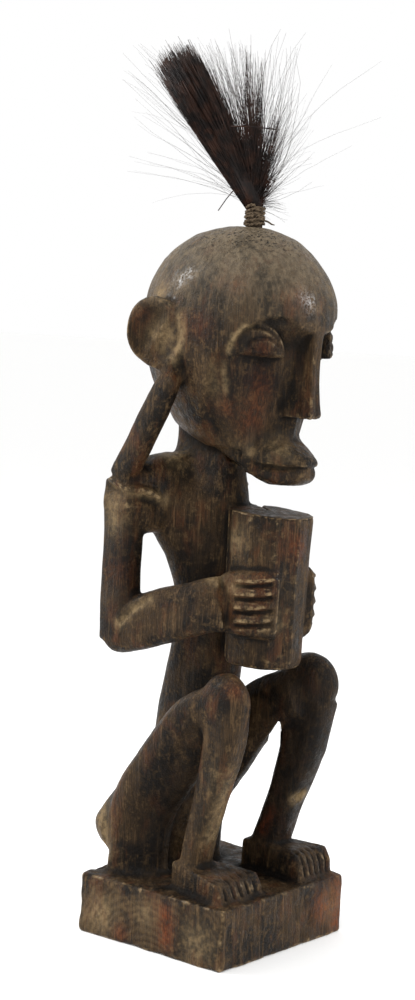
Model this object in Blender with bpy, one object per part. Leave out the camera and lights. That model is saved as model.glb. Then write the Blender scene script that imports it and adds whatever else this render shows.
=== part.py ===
"""A seated figure carved with its base and cup from one log, with a bound tuft of fibres on its crown.

Metres, +Z up. The origin is on the underside of the base, and the figure looks along -Y.
The carving is drawn in units that are 1 mm at its real size, with the ground it sits on at GROUND.
"""

import math

import bmesh
import bpy
from mathutils import Vector

FIGURE_HEIGHT = 0.4045
BASE_HEIGHT = 0.037
BASE_FRONT_WIDTH = 0.1225
BASE_BACK_WIDTH = 0.129
BASE_FRONT_Y = -0.0568
BASE_RIGHT_BACK_Y = 0.0555
BASE_LEFT_BACK_Y = 0.074

STEM_RADIUS = 0.0043
CLEARANCE = 0.0003
SOCKET_DEPTH = 0.009
TWINE_DIAMETER = 0.0021
TWINE_WRAPS = 6
TUFT_LENGTH = 0.112

DRAWN_HEIGHT = 404.5
GROUND = 37.0
CROWN = GROUND + DRAWN_HEIGHT
UNIT = FIGURE_HEIGHT / DRAWN_HEIGHT
VOXEL = 1.7 * UNIT
FIGURE_TRIANGLES = 8000

SIDES = 24
RIGHT = -1
LEFT = 1
TUFT_Y = -4.5

HEAD_CENTRE_Y = 2.3
HEAD_EQUATOR = 385.0
HEAD_HALF_WIDTH = 53.8
HEAD_HALF_LENGTH = 61.8
CROWN_SHIFT_Y = 0.3
DOME_POWER = 2.12

CUP_Y = -29.5
CUP_TOP = 269.0
CUP_BOTTOM = 174.5
CUP_TOP_RADIUS = 26.3
CUP_BOTTOM_RADIUS = 23.8


def place(x, y, z):
    """A point of the drawn figure, in metres on top of the base."""
    return Vector((x * UNIT, y * UNIT, BASE_HEIGHT + (z - GROUND) * UNIT))


def clear_scene():
    for old in list(bpy.data.objects):
        bpy.data.objects.remove(old, do_unlink=True)


def signed_power(value, power):
    return math.copysign(abs(value) ** (2.0 / power), value)


def oval(power, count=SIDES):
    """Unit superellipse as (across, along) pairs; a higher power is squarer."""
    turns = [2.0 * math.pi * (step + 0.5) / count for step in range(count)]
    return [(signed_power(math.cos(t), power), signed_power(math.sin(t), power)) for t in turns]


def add_loft(bm, rings):
    """Skin rings with equal numbers of points into one closed solid."""
    rows = [[bm.verts.new(point) for point in ring] for ring in rings]
    faces = [bm.faces.new(rows[0]), bm.faces.new(rows[-1])]
    for low, high in zip(rows, rows[1:]):
        for step in range(len(low)):
            after = (step + 1) % len(low)
            faces.append(bm.faces.new((low[step], low[after], high[after], high[step])))
    bmesh.ops.recalc_face_normals(bm, faces=faces)


def add_column(bm, levels, x=0.0, power=2.6):
    """Stack level sections (z, half width, front y, back y, taper); taper narrows the front."""
    rings = []
    for z, half_width, front, back, taper in levels:
        middle, half_depth = (front + back) / 2.0, (back - front) / 2.0
        ring = []
        for across, along in oval(power):
            narrow = 1.0 - taper * (1.0 - along) / 2.0
            ring.append(place(x + across * half_width * narrow, middle + along * half_depth, z))
        rings.append(ring)
    add_loft(bm, rings)


def add_bar(bm, stations, power=2.6):
    """Sweep a section along stations (x, y, z, half width in x, half depth across the bar)."""
    centres = [Vector(station[:3]) for station in stations]
    rings = []
    for index, station in enumerate(stations):
        before = centres[max(index - 1, 0)]
        after = centres[min(index + 1, len(centres) - 1)]
        tangent = (after - before).normalized()
        depth = tangent.cross(Vector((1.0, 0.0, 0.0))).normalized()
        width = depth.cross(tangent).normalized()
        ring = []
        for across, along in oval(power):
            point = centres[index] + width * (across * station[3]) + depth * (along * station[4])
            ring.append(place(*point))
        rings.append(ring)
    add_loft(bm, rings)


def add_ellipsoid(bm, centre, first, second, third, rows=9):
    """Ellipsoid about a centre with three half axes given as vectors."""
    rings = []
    for row in range(rows):
        lift = math.radians(-84.0 + 168.0 * row / (rows - 1))
        ring = []
        for across, along in oval(2.0, 20):
            point = centre + third * math.sin(lift)
            point += (first * across + second * along) * math.cos(lift)
            ring.append(place(*point))
        rings.append(ring)
    add_loft(bm, rings)


def mirrored(stations, side):
    """Stations drawn for the figure's right (-X), put on either side."""
    return [(-side * station[0],) + tuple(station[1:]) for station in stations]


def add_base(bm):
    """Four sided plinth, hand cut; it runs below z = 0 to be cut flat."""
    corners = [
        (-BASE_FRONT_WIDTH / 2.0, BASE_FRONT_Y),
        (BASE_FRONT_WIDTH / 2.0 + 0.001, BASE_FRONT_Y),
        (BASE_BACK_WIDTH / 2.0 + 0.002, BASE_LEFT_BACK_Y),
        (-BASE_BACK_WIDTH / 2.0 + 0.002, BASE_RIGHT_BACK_Y),
    ]
    rings = []
    for z in (-0.006, BASE_HEIGHT):
        rings.append([Vector((x, y, z)) for x, y in corners])
    add_loft(bm, rings)


def add_skull(bm):
    """Level sections (z, half width, front y, back y) below the equator, and a dome above it."""
    front, back = HEAD_CENTRE_Y - HEAD_HALF_LENGTH, HEAD_CENTRE_Y + HEAD_HALF_LENGTH
    levels = [(306.0, 30.0, -62.0, 16.0), (316.0, 34.5, -66.0, 39.0), (328.0, 40.5, -68.0, 48.0)]
    levels += [(344.0, 47.5, -66.0, 57.5), (360.0, 52.0, -62.5, 61.5), (373.0, 53.5, front, back)]
    levels.append((HEAD_EQUATOR, HEAD_HALF_WIDTH, front, back))
    for step in range(1, 9):
        rise = math.radians(10.4 * step)
        up, out = signed_power(math.sin(rise), DOME_POWER), signed_power(math.cos(rise), DOME_POWER)
        middle = HEAD_CENTRE_Y + CROWN_SHIFT_Y * up
        half_length = HEAD_HALF_LENGTH * out
        z = HEAD_EQUATOR + (CROWN - HEAD_EQUATOR) * up
        levels.append((z, HEAD_HALF_WIDTH * out, middle - half_length, middle + half_length))
    rings = []
    for z, half_width, front, back in levels:
        middle, half_length = (front + back) / 2.0, (back - front) / 2.0
        rings.append([
            place(across * half_width, middle + along * half_length, z)
            for across, along in oval(2.05, 32)
        ])
    add_loft(bm, rings)


def add_torso(bm):
    add_column(bm, [
        (326.0, 13.0, 0.0, 43.0, 0.2),
        (303.0, 14.0, -4.5, 43.5, 0.25),
        (290.0, 28.0, -5.5, 47.0, 0.6),
        (275.0, 47.0, -8.0, 51.0, 0.75),
        (262.0, 50.0, -8.0, 52.0, 0.75),
        (252.0, 42.0, -8.0, 46.0, 0.70),
        (245.0, 37.0, -8.0, 42.5, 0.60),
        (237.0, 32.0, -8.0, 38.5, 0.50),
        (226.0, 27.5, -8.0, 35.0, 0.40),
        (216.0, 24.0, -7.5, 32.5, 0.30),
        (200.0, 21.5, -7.0, 31.5, 0.25),
        (183.0, 21.5, -6.0, 33.5, 0.20),
        (166.0, 22.5, -5.0, 36.0, 0.10),
        (144.0, 24.5, -3.0, 39.5, 0.10),
        (126.0, 26.0, 0.0, 41.0, 0.10),
        (116.0, 29.0, 2.0, 41.0, 0.20),
        (106.0, 38.0, 5.0, 45.5, 0.30),
        (96.0, 45.5, 8.0, 51.0, 0.40),
        (80.0, 52.5, 12.0, 61.0, 0.50),
        (67.0, 56.0, 16.0, 68.0, 0.50),
        (59.0, 55.0, 19.0, 67.0, 0.50),
        (51.0, 51.0, 22.0, 62.0, 0.50),
        (43.0, 46.5, 25.0, 58.0, 0.50),
        (30.0, 41.0, 27.0, 53.0, 0.50),
    ], power=3.0)


def add_shoulders(bm):
    """Yoke across the back, from one arm to the other."""
    stations = [(-60.0, 45.0, 9.5, 263.0, 277.0), (-56.0, 45.0, 11.5, 259.0, 285.0)]
    stations += [(-45.0, 42.5, 13.0, 250.0, 293.5), (-22.0, 34.0, 14.0, 252.0, 300.5)]
    stations += [(-x, *rest) for x, *rest in reversed(stations)]
    rings = []
    for x, y, half_depth, bottom, top in stations:
        middle, half_height = (bottom + top) / 2.0, (top - bottom) / 2.0
        rings.append([
            place(x, y + across * half_depth, middle + along * half_height)
            for across, along in oval(3.0)
        ])
    add_loft(bm, rings)


def add_arm(bm, side):
    add_bar(bm, mirrored([
        (-50.0, 45.0, 280.0, 9.8, 10.8),
        (-50.0, 45.0, 240.0, 9.8, 10.8),
        (-50.0, 45.0, 205.0, 9.8, 10.8),
        (-50.0, 45.0, 184.0, 9.0, 10.0),
    ], side), power=3.2)
    add_bar(bm, mirrored([
        (-50.5, 53.5, 188.5, 8.5, 11.5),
        (-50.0, 46.0, 191.5, 9.5, 16.5),
        (-45.5, 18.0, 200.5, 9.2, 17.0),
        (-38.5, -10.0, 210.5, 8.6, 16.4),
        (-32.0, -21.0, 213.0, 7.6, 17.5),
    ], side), power=3.0)


def add_hand(bm, side):
    """Palm and fingers as a shell that wraps the cup from the wrist to the finger ends."""
    spans = [(118.0, 33.0, 197.0, 231.5), (98.0, 33.5, 195.0, 233.5), (75.0, 32.0, 194.5, 234.0)]
    spans += [(52.0, 30.5, 194.0, 234.5), (36.0, 29.0, 194.0, 234.5)]
    rings = []
    for turn, outer, bottom, top in spans:
        angle = math.radians(turn)
        direction = Vector((side * math.sin(angle), -math.cos(angle), 0.0))
        inner = 18.0
        centre = Vector((0.0, CUP_Y, (bottom + top) / 2.0)) + direction * (inner + outer) / 2.0
        rings.append([
            place(*(centre + direction * (across * (outer - inner) / 2.0)
                    + Vector((0.0, 0.0, along * (top - bottom) / 2.0))))
            for across, along in oval(4.0)
        ])
    add_loft(bm, rings)


def add_cup(bm):
    """Solid turned form with its flat top tilted a little towards the front."""
    rings = []
    for z, radius, tilt in ((CUP_BOTTOM, CUP_BOTTOM_RADIUS - 2.0, 0.0),
                            (CUP_BOTTOM + 3.0, CUP_BOTTOM_RADIUS, 0.0),
                            (CUP_TOP, CUP_TOP_RADIUS, 0.07)):
        rings.append([
            place(across * radius, CUP_Y + along * radius, z + tilt * along * radius)
            for across, along in oval(2.0, 28)
        ])
    add_loft(bm, rings)


THIGH_SECTION = [(-22.0, 11.5), (-34.0, 11.5), (-44.0, 9.5), (-48.8, 5.0), (-49.0, -2.0), (-46.0, -8.5),
                 (-40.5, -15.5), (-35.0, -22.0), (-29.0, -26.0), (-22.5, -26.0), (-18.5, -21.0), (-18.0, 0.0)]


def add_thigh(bm, side, stations):
    """Wedge that leans in below its outer ridge; stations of the ridge are (y, z, scale of the depth)."""
    centres = [Vector((0.0, y, z)) for y, z, _ in stations]
    rings = []
    for index, (y, z, scale) in enumerate(stations):
        tangent = (centres[min(index + 1, len(centres) - 1)] - centres[max(index - 1, 0)]).normalized()
        depth = tangent.cross(Vector((1.0, 0.0, 0.0)))
        rings.append([place(-side * x, *(centres[index] + depth * (reach * scale)).yz) for x, reach in THIGH_SECTION])
    add_loft(bm, rings)


def add_leg(bm, side, knee, shin):
    """Thigh from the hip up to the knee, and shin down to the ankle."""
    forward, lift, swell = knee
    add_thigh(bm, side, [
        (42.0, 30.0, 0.9),
        (44.0, 60.0, 1.0),
        (40.5, 78.0, 1.0),
        (32.5, 95.0, 1.0),
        (17.0, 117.5, 1.0),
        (1.5, 138.0, 0.97),
        (-12.0 + forward / 2.0, 150.0 + lift / 2.0, 0.92),
        (-26.0 + forward, 155.0 + lift, 0.8),
    ])
    centre = Vector((side * 35.5, -30.5 + forward, 154.5 + lift))
    add_ellipsoid(bm, centre, Vector((13.0, 0.0, 0.0)), Vector((0.0, 17.5 + swell, 0.0)), Vector((0.0, 0.0, 19.0)))
    stations = [(-36.0, -32.5 + forward, 146.0 + lift, 11.5, 14.0 + swell)]
    stations += [(-36.0, y, z, half_width, half_depth) for z, y, half_width, half_depth in shin]
    add_bar(bm, mirrored(stations, side), power=3.0)


def add_foot(bm, side, heel, toe):
    """Wedge from heel to toes; each end is (y, inner x, outer x, top z)."""
    rings = []
    for y, inner, outer, top in (heel, toe):
        low, high = GROUND - 4.0, top
        rings.append([place(side * x, y, z) for x, z in ((inner, low), (outer, low), (outer, high), (inner, high))])
    y, inner, outer, top = toe
    front = y - 5.0
    rings.append([place(side * x, front, z)
                  for x, z in ((inner, GROUND - 4.0), (outer, GROUND - 4.0), (outer, top - 8.0), (inner, top - 8.0))])
    add_loft(bm, rings)


EAR_CENTRE = Vector((-59.0, 21.8, 375.5))
EAR_BACK = Vector((-0.386, 0.923, 0.0))
EAR_OUT = Vector((-0.923, -0.386, 0.0))
EAR_LOBE = 0.30
UP = Vector((0.0, 0.0, 1.0))


def flip(point, side):
    return Vector((-side * point.x, point.y, point.z))


def add_ear(bm, side):
    """Round flaring disc that runs out into a lobe, and the bar from the lobe to the shoulder."""
    rings = []
    for out, half_length, half_height, shift in ((-15.0, 11.0, 14.0, -6.0), (-5.0, 15.5, 18.5, -1.0),
                                                 (-1.0, 17.3, 20.5, 0.0), (2.0, 16.3, 19.5, 0.0)):
        ring = []
        for across, along in oval(2.1):
            longer = 1.0 + EAR_LOBE * max(0.0, -0.55 * across - 0.83 * along) ** 5
            ring.append(place(*flip(EAR_CENTRE + EAR_OUT * out + EAR_BACK * (across * half_length * longer + shift)
                                    + UP * (along * half_height * longer), side)))
        rings.append(ring)
    add_loft(bm, rings)
    add_bar(bm, mirrored([
        (-54.0, 9.5, 352.0, 4.6, 5.2),
        (-54.5, 12.5, 343.0, 6.6, 7.4),
        (-54.0, 33.0, 306.0, 7.0, 8.4),
        (-53.0, 46.0, 284.0, 7.2, 9.0),
    ], side), power=2.8)


def add_lip(bm, stations, rise):
    """Sections across Y (y, half width, edge z, crest z); the crest lies above or below the edge."""
    rings = []
    for y, half_width, edge, crest in stations:
        middle, half_height = (edge + crest) / 2.0, (crest - edge) / 2.0
        ring = []
        for (across, along), (_, steep) in zip(oval(2.6), oval(rise)):
            outward = along * half_height > 0.0 if crest > edge else along * half_height < 0.0
            ring.append(place(across * half_width, y, middle + (steep if outward else along) * half_height))
        rings.append(ring)
    add_loft(bm, rings)


def add_jaw(bm):
    """Jaw, the slope of the muzzle, and a snout whose two lips meet in a notch."""
    add_column(bm, [
        (286.5, 12.0, -42.0, -32.0, 0.0),
        (289.5, 20.0, -44.0, -26.0, 0.2),
        (295.0, 26.0, -44.0, -18.0, 0.3),
        (301.0, 30.0, -43.0, -6.0, 0.4),
        (309.0, 32.0, -36.0, 12.0, 0.4),
        (318.0, 34.0, -27.0, 32.0, 0.4),
        (326.0, 30.0, -22.0, 34.0, 0.4),
    ], power=2.4)
    add_column(bm, [
        (300.0, 16.0, -46.5, -20.0, 0.3),
        (309.0, 13.0, -44.5, -20.0, 0.4),
        (318.0, 10.0, -41.8, -20.0, 0.4),
        (331.0, 8.5, -41.5, -20.0, 0.3),
    ], power=2.2)
    add_column(bm, [
        (301.0, 24.5, -44.0, -14.0, 0.3),
        (308.0, 21.5, -41.5, -14.0, 0.3),
        (314.0, 17.5, -38.5, -14.0, 0.3),
        (321.0, 13.0, -38.0, -14.0, 0.3),
        (332.0, 10.0, -38.0, -14.0, 0.3),
    ], power=2.0)
    add_lip(bm, [
        (-24.0, 26.5, 295.0, 319.0),
        (-36.0, 23.0, 295.5, 316.0),
        (-43.0, 19.0, 296.5, 313.0),
        (-48.0, 16.0, 296.5, 309.5),
        (-52.5, 12.5, 297.0, 306.5),
        (-56.0, 9.0, 297.0, 304.5),
        (-58.5, 5.5, 298.0, 303.0),
    ], 1.5)
    add_lip(bm, [
        (-24.0, 24.0, 300.0, 291.0),
        (-36.0, 21.5, 299.5, 287.0),
        (-43.0, 18.0, 299.0, 285.5),
        (-49.0, 14.0, 298.5, 286.5),
        (-53.5, 10.0, 298.5, 288.5),
        (-56.5, 6.0, 298.0, 290.5),
    ], 2.2)


def add_nose(bm):
    """Straight slab with a flat underside: (z, half width behind, half width in front, front y)."""
    rings = []
    for z, behind, front_half, front in ((328.0, 9.5, 5.5, -58.2), (352.0, 7.5, 4.5, -58.2),
                                         (378.0, 6.5, 4.5, -58.6), (392.0, 8.0, 6.0, -57.0)):
        rings.append([place(x, y, z) for x, y in (
            (-front_half, front), (front_half, front), (behind, -36.0), (behind, -30.0),
            (-behind, -30.0), (-behind, -36.0))])
    add_loft(bm, rings)


def on_skull(turn, z, inset):
    """Point on the skull's side, turned from the front (-Y) towards the figure's right."""
    half_width, half_length = HEAD_HALF_WIDTH - 0.5 - inset, HEAD_HALF_LENGTH - 1.5 - inset
    angle = math.radians(turn)
    return Vector((-half_width * math.sin(angle), HEAD_CENTRE_Y - half_length * math.cos(angle), z))


def add_eye(bm, side):
    """Half disc with a flat lower edge that stays near the skull's surface."""
    rings = []
    for inset, shrink in ((22.0, 1.0), (3.0, 1.0), (0.8, 0.86), (0.0, 0.5)):
        ring = []
        for step in range(17):
            angle = math.pi * step / 16.0
            turn = 45.0 + 19.5 * shrink * math.cos(angle)
            z = 363.0 + (1.0 - shrink) * 5.0 + 19.5 * shrink * math.sin(angle)
            ring.append(place(*flip(on_skull(turn, z, inset), side)))
        rings.append(ring)
    add_loft(bm, rings)


CHEEK_NOSE = Vector((-7.0, -39.5, 0.0))
CHEEK_OUT = Vector((-0.496, -0.868, 0.0))
CHEEK_ALONG = Vector((-0.868, 0.496, 0.0))
CHEEK_FOOT = 314.0
CHEEK_LEAN = 0.14


def add_cheek_cut(bm, side):
    """Hollow of one half of the face, under the arch of the brow."""
    outline = [(-19.0, 300.0), (-19.0, 379.0), (-7.0, 380.5), (0.0, 385.5), (9.0, 388.0), (22.0, 386.5), (31.0, 383.0)]
    outline += [(39.0, 378.0), (44.5, 371.0), (47.4, 360.0), (47.6, 349.0), (46.5, 333.0)]
    outline += [(42.0, 320.0), (33.0, 307.0), (22.0, 300.0)]
    rings = []
    for out, lean in ((0.0, CHEEK_LEAN), (45.0, 0.0)):
        rings.append([
            place(*flip(CHEEK_NOSE + CHEEK_ALONG * along + CHEEK_OUT * (out + lean * (z - CHEEK_FOOT)) + UP * z, side))
            for along, z in outline
        ])
    add_loft(bm, rings)


def add_ear_cut(bm, side):
    centre = EAR_CENTRE + EAR_OUT * 4.5
    back, out = flip(EAR_BACK, side), flip(EAR_OUT, side)
    add_ellipsoid(bm, flip(centre, side), back * 14.8, UP * 16.8, out * 8.5)


def add_finger_cuts(bm, side):
    """Grooves between five fingers."""
    for finger in range(1, 5):
        z = 194.0 + 40.5 * finger / 5.0
        rings = []
        for step in range(9):
            angle = math.radians(30.0 + 62.0 * step / 8.0)
            direction = Vector((side * math.sin(angle), -math.cos(angle), 0.0))
            radius = 31.0 + 1.5 * step / 8.0
            centre = Vector((0.0, CUP_Y, z)) + direction * radius
            rings.append([
                place(*(centre + direction * (across * 3.2) + UP * (along * 1.9)))
                for across, along in oval(2.0, 8)
            ])
        add_loft(bm, rings)


def add_toe_cuts(bm, side, inner, outer, front, top):
    """Grooves between five toes."""
    for toe in range(1, 5):
        x = side * (inner + (outer - inner) * toe / 5.0)
        rings = [[place(x + across * 1.1, y + along * 2.6, z) for across, along in oval(2.0, 8)]
                 for y, z in ((front - 5.5, GROUND + 1.0), (front - 5.5, top - 7.5), (front + 4.0, top + 1.5))]
        add_loft(bm, rings)


def material(name, colour, roughness):
    finish = bpy.data.materials.new(name)
    finish.use_nodes = True
    shader = finish.node_tree.nodes["Principled BSDF"]
    shader.inputs["Base Color"].default_value = (*colour, 1.0)
    shader.inputs["Roughness"].default_value = roughness
    shader.inputs["Metallic"].default_value = 0.0
    return finish


def make_object(name, bm, finish=None):
    mesh = bpy.data.meshes.new(name)
    bm.to_mesh(mesh)
    bm.free()
    thing = bpy.data.objects.new(name, mesh)
    bpy.context.scene.collection.objects.link(thing)
    if finish is None:
        thing.hide_render = True
        thing.display_type = "WIRE"
    else:
        mesh.materials.append(finish)
    return thing


def baked(thing):
    """The mesh that a thing's modifiers give; the thing itself is removed."""
    bpy.context.view_layer.update()
    graph = bpy.context.evaluated_depsgraph_get()
    mesh = bpy.data.meshes.new_from_object(thing.evaluated_get(graph))
    bpy.data.objects.remove(thing, do_unlink=True)
    return mesh


def fused(name, bm):
    """Overlapping closed forms fused into one skin."""
    thing = make_object(name, bm)
    step = thing.modifiers.new("fuse", "REMESH")
    step.mode = "VOXEL"
    step.voxel_size = VOXEL
    return thing


def add_boolean(thing, name, operation, other):
    step = thing.modifiers.new(name, "BOOLEAN")
    step.operation = operation
    step.object = other
    step.solver = "EXACT"


def body_forms():
    bm = bmesh.new()
    add_base(bm)
    add_skull(bm)
    add_torso(bm)
    add_shoulders(bm)
    for side in (RIGHT, LEFT):
        add_arm(bm, side)
        add_hand(bm, side)
        add_ear(bm, side)
    add_cup(bm)
    add_leg(bm, RIGHT, (0.0, 0.0, 0.0), [
        (127.0, -30.8, 10.8, 12.5), (103.0, -25.5, 10.3, 10.0), (85.0, -21.0, 10.2, 8.9),
        (66.0, -16.2, 10.2, 8.2), (44.0, -13.0, 10.5, 8.0)])
    add_leg(bm, LEFT, (-10.0, 6.5, 3.0), [
        (123.0, -38.5, 11.5, 14.5), (100.0, -31.5, 10.8, 12.0), (79.0, -25.0, 10.4, 11.0),
        (59.0, -18.0, 10.4, 10.8), (44.0, -12.0, 10.5, 10.8)])
    add_foot(bm, RIGHT, (-3.0, 26.0, 46.0, 54.0), (-44.0, 12.0, 55.5, 50.0))
    add_foot(bm, LEFT, (-2.0, 25.0, 47.0, 55.5), (-46.0, 22.5, 56.5, 55.0))
    return bm


def hollow_cutters(side, toes):
    bm = bmesh.new()
    add_cheek_cut(bm, side)
    add_ear_cut(bm, side)
    add_finger_cuts(bm, side)
    add_toe_cuts(bm, side, *toes)
    return bm


def face_forms():
    bm = bmesh.new()
    add_jaw(bm)
    add_nose(bm)
    for side in (RIGHT, LEFT):
        add_eye(bm, side)
    return bm


def trim_cutters():
    """Cuts the underside flat and sinks the tuft's seat and socket into the crown."""
    bm = bmesh.new()
    reach = 0.2
    add_loft(bm, [[Vector((x, y, z)) for x, y in ((-reach, -reach), (reach, -reach), (reach, reach), (-reach, reach))]
                  for z in (-0.05, 0.0)])
    seat = seat_height()
    wide, narrow = STEM_RADIUS + TWINE_DIAMETER * 1.3, STEM_RADIUS + CLEARANCE
    rings = []
    for z, radius in ((seat + 0.02, wide), (seat, wide), (seat, narrow), (seat - SOCKET_DEPTH, narrow)):
        rings.append([Vector((across * radius, TUFT_Y * UNIT + along * radius, z))
                      for across, along in oval(2.0, 16)])
    add_loft(bm, rings)
    return bm


def seat_height():
    """Height of the small flat on the crown that the tuft's winding rests on."""
    return BASE_HEIGHT + (CROWN - 1.0 - GROUND) * UNIT


def make_figure():
    rough = fused("rough", body_forms())
    for name, side, toes in (("right hollows", RIGHT, (12.0, 55.5, -44.0, 50.0)),
                             ("left hollows", LEFT, (22.5, 56.5, -46.0, 55.0))):
        add_boolean(rough, name, "DIFFERENCE", make_object(name, hollow_cutters(side, toes)))
    cutters = [step.object for step in rough.modifiers if step.type == "BOOLEAN"]
    bm = face_forms()
    bm.from_mesh(baked(rough))
    for cutter in cutters:
        bpy.data.objects.remove(cutter, do_unlink=True)
    skin = fused("skin", bm)
    worn = skin.modifiers.new("worn edges", "SMOOTH")
    worn.factor = 0.5
    worn.iterations = 3
    mesh = baked(skin)
    figure = bpy.data.objects.new("figure", mesh)
    bpy.context.scene.collection.objects.link(figure)
    mesh.materials.clear()
    mesh.materials.append(material("carved wood", (0.085, 0.055, 0.037), 0.5))
    fewer = figure.modifiers.new("fewer faces", "DECIMATE")
    fewer.ratio = min(1.0, FIGURE_TRIANGLES / (2.0 * len(mesh.polygons)))
    add_boolean(figure, "trim", "DIFFERENCE", make_object("trim", trim_cutters()))
    return figure


def make_binding():
    """Twine wound round the foot of the tuft, as a closed sleeve with a ridge for each turn."""
    twine = material("twine", (0.16, 0.12, 0.09), 0.9)
    bore = STEM_RADIUS + CLEARANCE
    bottom = seat_height() + CLEARANCE
    half = TWINE_DIAMETER / 2.0
    profile = [(bore, bottom), (bore + half, bottom)]
    for wrap in range(TWINE_WRAPS):
        middle = bottom + TWINE_DIAMETER * (wrap + 0.5)
        profile.append((bore + TWINE_DIAMETER * 0.95, middle - half * 0.45))
        profile.append((bore + TWINE_DIAMETER * 0.95, middle + half * 0.45))
        profile.append((bore + half * 1.2, middle + half))
    top = bottom + TWINE_DIAMETER * TWINE_WRAPS
    profile.append((bore, top))
    bm = bmesh.new()
    count = 16
    rows = []
    for radius, z in profile:
        rows.append([bm.verts.new((across * radius, TUFT_Y * UNIT + along * radius, z))
                     for across, along in oval(2.0, count)])
    for low, high in zip(rows, rows[1:] + rows[:1]):
        for step in range(count):
            after = (step + 1) % count
            bm.faces.new((low[step], low[after], high[after], high[step]))
    bmesh.ops.recalc_face_normals(bm, faces=bm.faces)
    return make_object("tuft_binding", bm, twine)


def add_strand(bm, reach, radii, sides=5, bow=0.12):
    """Tapered strand from inside the stem's flare to a reach from its foot, bowing a little."""
    foot = Vector((0.0, TUFT_Y * UNIT, binding_top() + 0.003))
    count = len(radii)
    sideways = Vector((reach.x, reach.y, 0.0))
    points = []
    for step in range(count):
        share = step / (count - 1)
        points.append(foot + reach * share - sideways * (bow * math.sin(math.pi * share)))
    rings = []
    for step, radius in enumerate(radii):
        tangent = (points[min(step + 1, count - 1)] - points[max(step - 1, 0)]).normalized()
        first = tangent.cross(Vector((0.31, 0.95, 0.0))).normalized()
        second = tangent.cross(first)
        rings.append([points[step] + (first * across + second * along) * radius
                      for across, along in oval(2.0, sides)])
    add_loft(bm, rings)


def binding_top():
    return seat_height() + CLEARANCE + TWINE_DIAMETER * TWINE_WRAPS


def make_fibres():
    fibre = material("dark fibre", (0.02, 0.012, 0.009), 0.6)
    stem = bmesh.new()
    low = seat_height() - SOCKET_DEPTH + CLEARANCE
    top = binding_top()
    levels = [(low, STEM_RADIUS), (top + 0.0005, STEM_RADIUS), (top + 0.004, STEM_RADIUS * 1.4), (top + 0.009, STEM_RADIUS)]
    add_loft(stem, [[Vector((across * radius, TUFT_Y * UNIT + along * radius, z))
                     for across, along in oval(2.0, 10)] for z, radius in levels])
    fibres = make_object("tuft_fibres", stem, fibre)
    strands = bmesh.new()
    long = TUFT_LENGTH
    add_strand(strands, Vector((-0.13, 0.56, 0.82)) * long, (0.0036, 0.0062, 0.0085, 0.0098, 0.0102, 0.0098), 10, 0.05)
    add_strand(strands, Vector((0.0, 0.03, 0.72)) * long, (0.0034, 0.0050, 0.0052, 0.0040, 0.0022), 7, 0.0)
    tips = [(0.20, -0.12, 1.00), (0.52, -0.44, 0.66), (0.50, -0.42, 0.90), (-0.08, 0.30, 0.98), (0.05, 0.12, 1.02)]
    tips += [(0.22, -0.30, 0.45), (-0.30, 0.75, 0.62), (0.30, 0.20, 0.85), (-0.35, 0.10, 0.70), (-0.20, -0.25, 0.62)]
    for x, y, z in tips:
        add_strand(strands, Vector((x, y, z)) * long, (0.0016, 0.0014, 0.0011, 0.0008), 4)
    add_boolean(fibres, "strands", "UNION", make_object("strands", strands))
    fibres.modifiers["strands"].use_self = True
    return fibres


def main():
    clear_scene()
    make_figure()
    make_binding()
    make_fibres()


main()
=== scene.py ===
"""Looks of a seated figure carved with its base and cup from one log, with a bound tuft on its crown.

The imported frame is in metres, +Z up, with its origin on the underside; the figure looks along -Y.
The carving is drawn in units that are 1 mm at its real size, with the ground it sits on at GROUND.
Its forms are those of the solids, with finer sections and with the marks of the knife and of wear.
"""

import math

import bmesh
import bpy
import numpy as np
from mathutils import Matrix, Vector


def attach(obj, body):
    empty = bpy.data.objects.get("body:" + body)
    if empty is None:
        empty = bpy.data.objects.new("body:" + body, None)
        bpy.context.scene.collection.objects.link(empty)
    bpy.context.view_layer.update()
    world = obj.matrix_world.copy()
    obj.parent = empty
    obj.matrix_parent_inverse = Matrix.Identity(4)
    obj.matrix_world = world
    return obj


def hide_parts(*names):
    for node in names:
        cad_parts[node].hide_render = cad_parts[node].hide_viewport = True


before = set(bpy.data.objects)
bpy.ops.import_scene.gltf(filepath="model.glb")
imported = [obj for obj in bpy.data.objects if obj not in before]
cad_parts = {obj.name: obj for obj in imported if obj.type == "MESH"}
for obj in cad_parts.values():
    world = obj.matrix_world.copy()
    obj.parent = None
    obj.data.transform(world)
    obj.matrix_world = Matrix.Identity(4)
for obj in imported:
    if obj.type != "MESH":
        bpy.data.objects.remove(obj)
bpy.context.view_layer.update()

FIGURE_HEIGHT = 0.4045
BASE_HEIGHT = 0.037
BASE_FRONT_WIDTH = 0.1225
BASE_BACK_WIDTH = 0.129
BASE_FRONT_Y = -0.0568
BASE_RIGHT_BACK_Y = 0.0555
BASE_LEFT_BACK_Y = 0.074

STEM_RADIUS = 0.0043
CLEARANCE = 0.0003
TWINE_DIAMETER = 0.0021
TWINE_WRAPS = 6
TUFT_LENGTH = 0.112

DRAWN_HEIGHT = 404.5
GROUND = 37
CROWN = GROUND + DRAWN_HEIGHT
UNIT = FIGURE_HEIGHT / DRAWN_HEIGHT
VOXEL = 1.15 * UNIT
FIGURE_TRIANGLES = 190000
NOISE_CELLS = 32

UP = Vector((0, 0, 1))
SIDES = 64
RIGHT = -1
LEFT = 1
TUFT_Y = -4.5

HEAD_CENTRE_Y = 2.3
HEAD_EQUATOR = 385
HEAD_HALF_WIDTH = 53.8
HEAD_HALF_LENGTH = 61.8
CROWN_SHIFT_Y = 0.3
DOME_POWER = 2.12

CUP_Y = -29.5
CUP_TOP = 269
CUP_BOTTOM = 174.5
CUP_TOP_RADIUS = 26.3
CUP_BOTTOM_RADIUS = 23.8

EYE_TURN, EYE_RADIUS, EYE_LEVEL = 45, 19.5, 363
RIM_SHARE = 0.84
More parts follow.
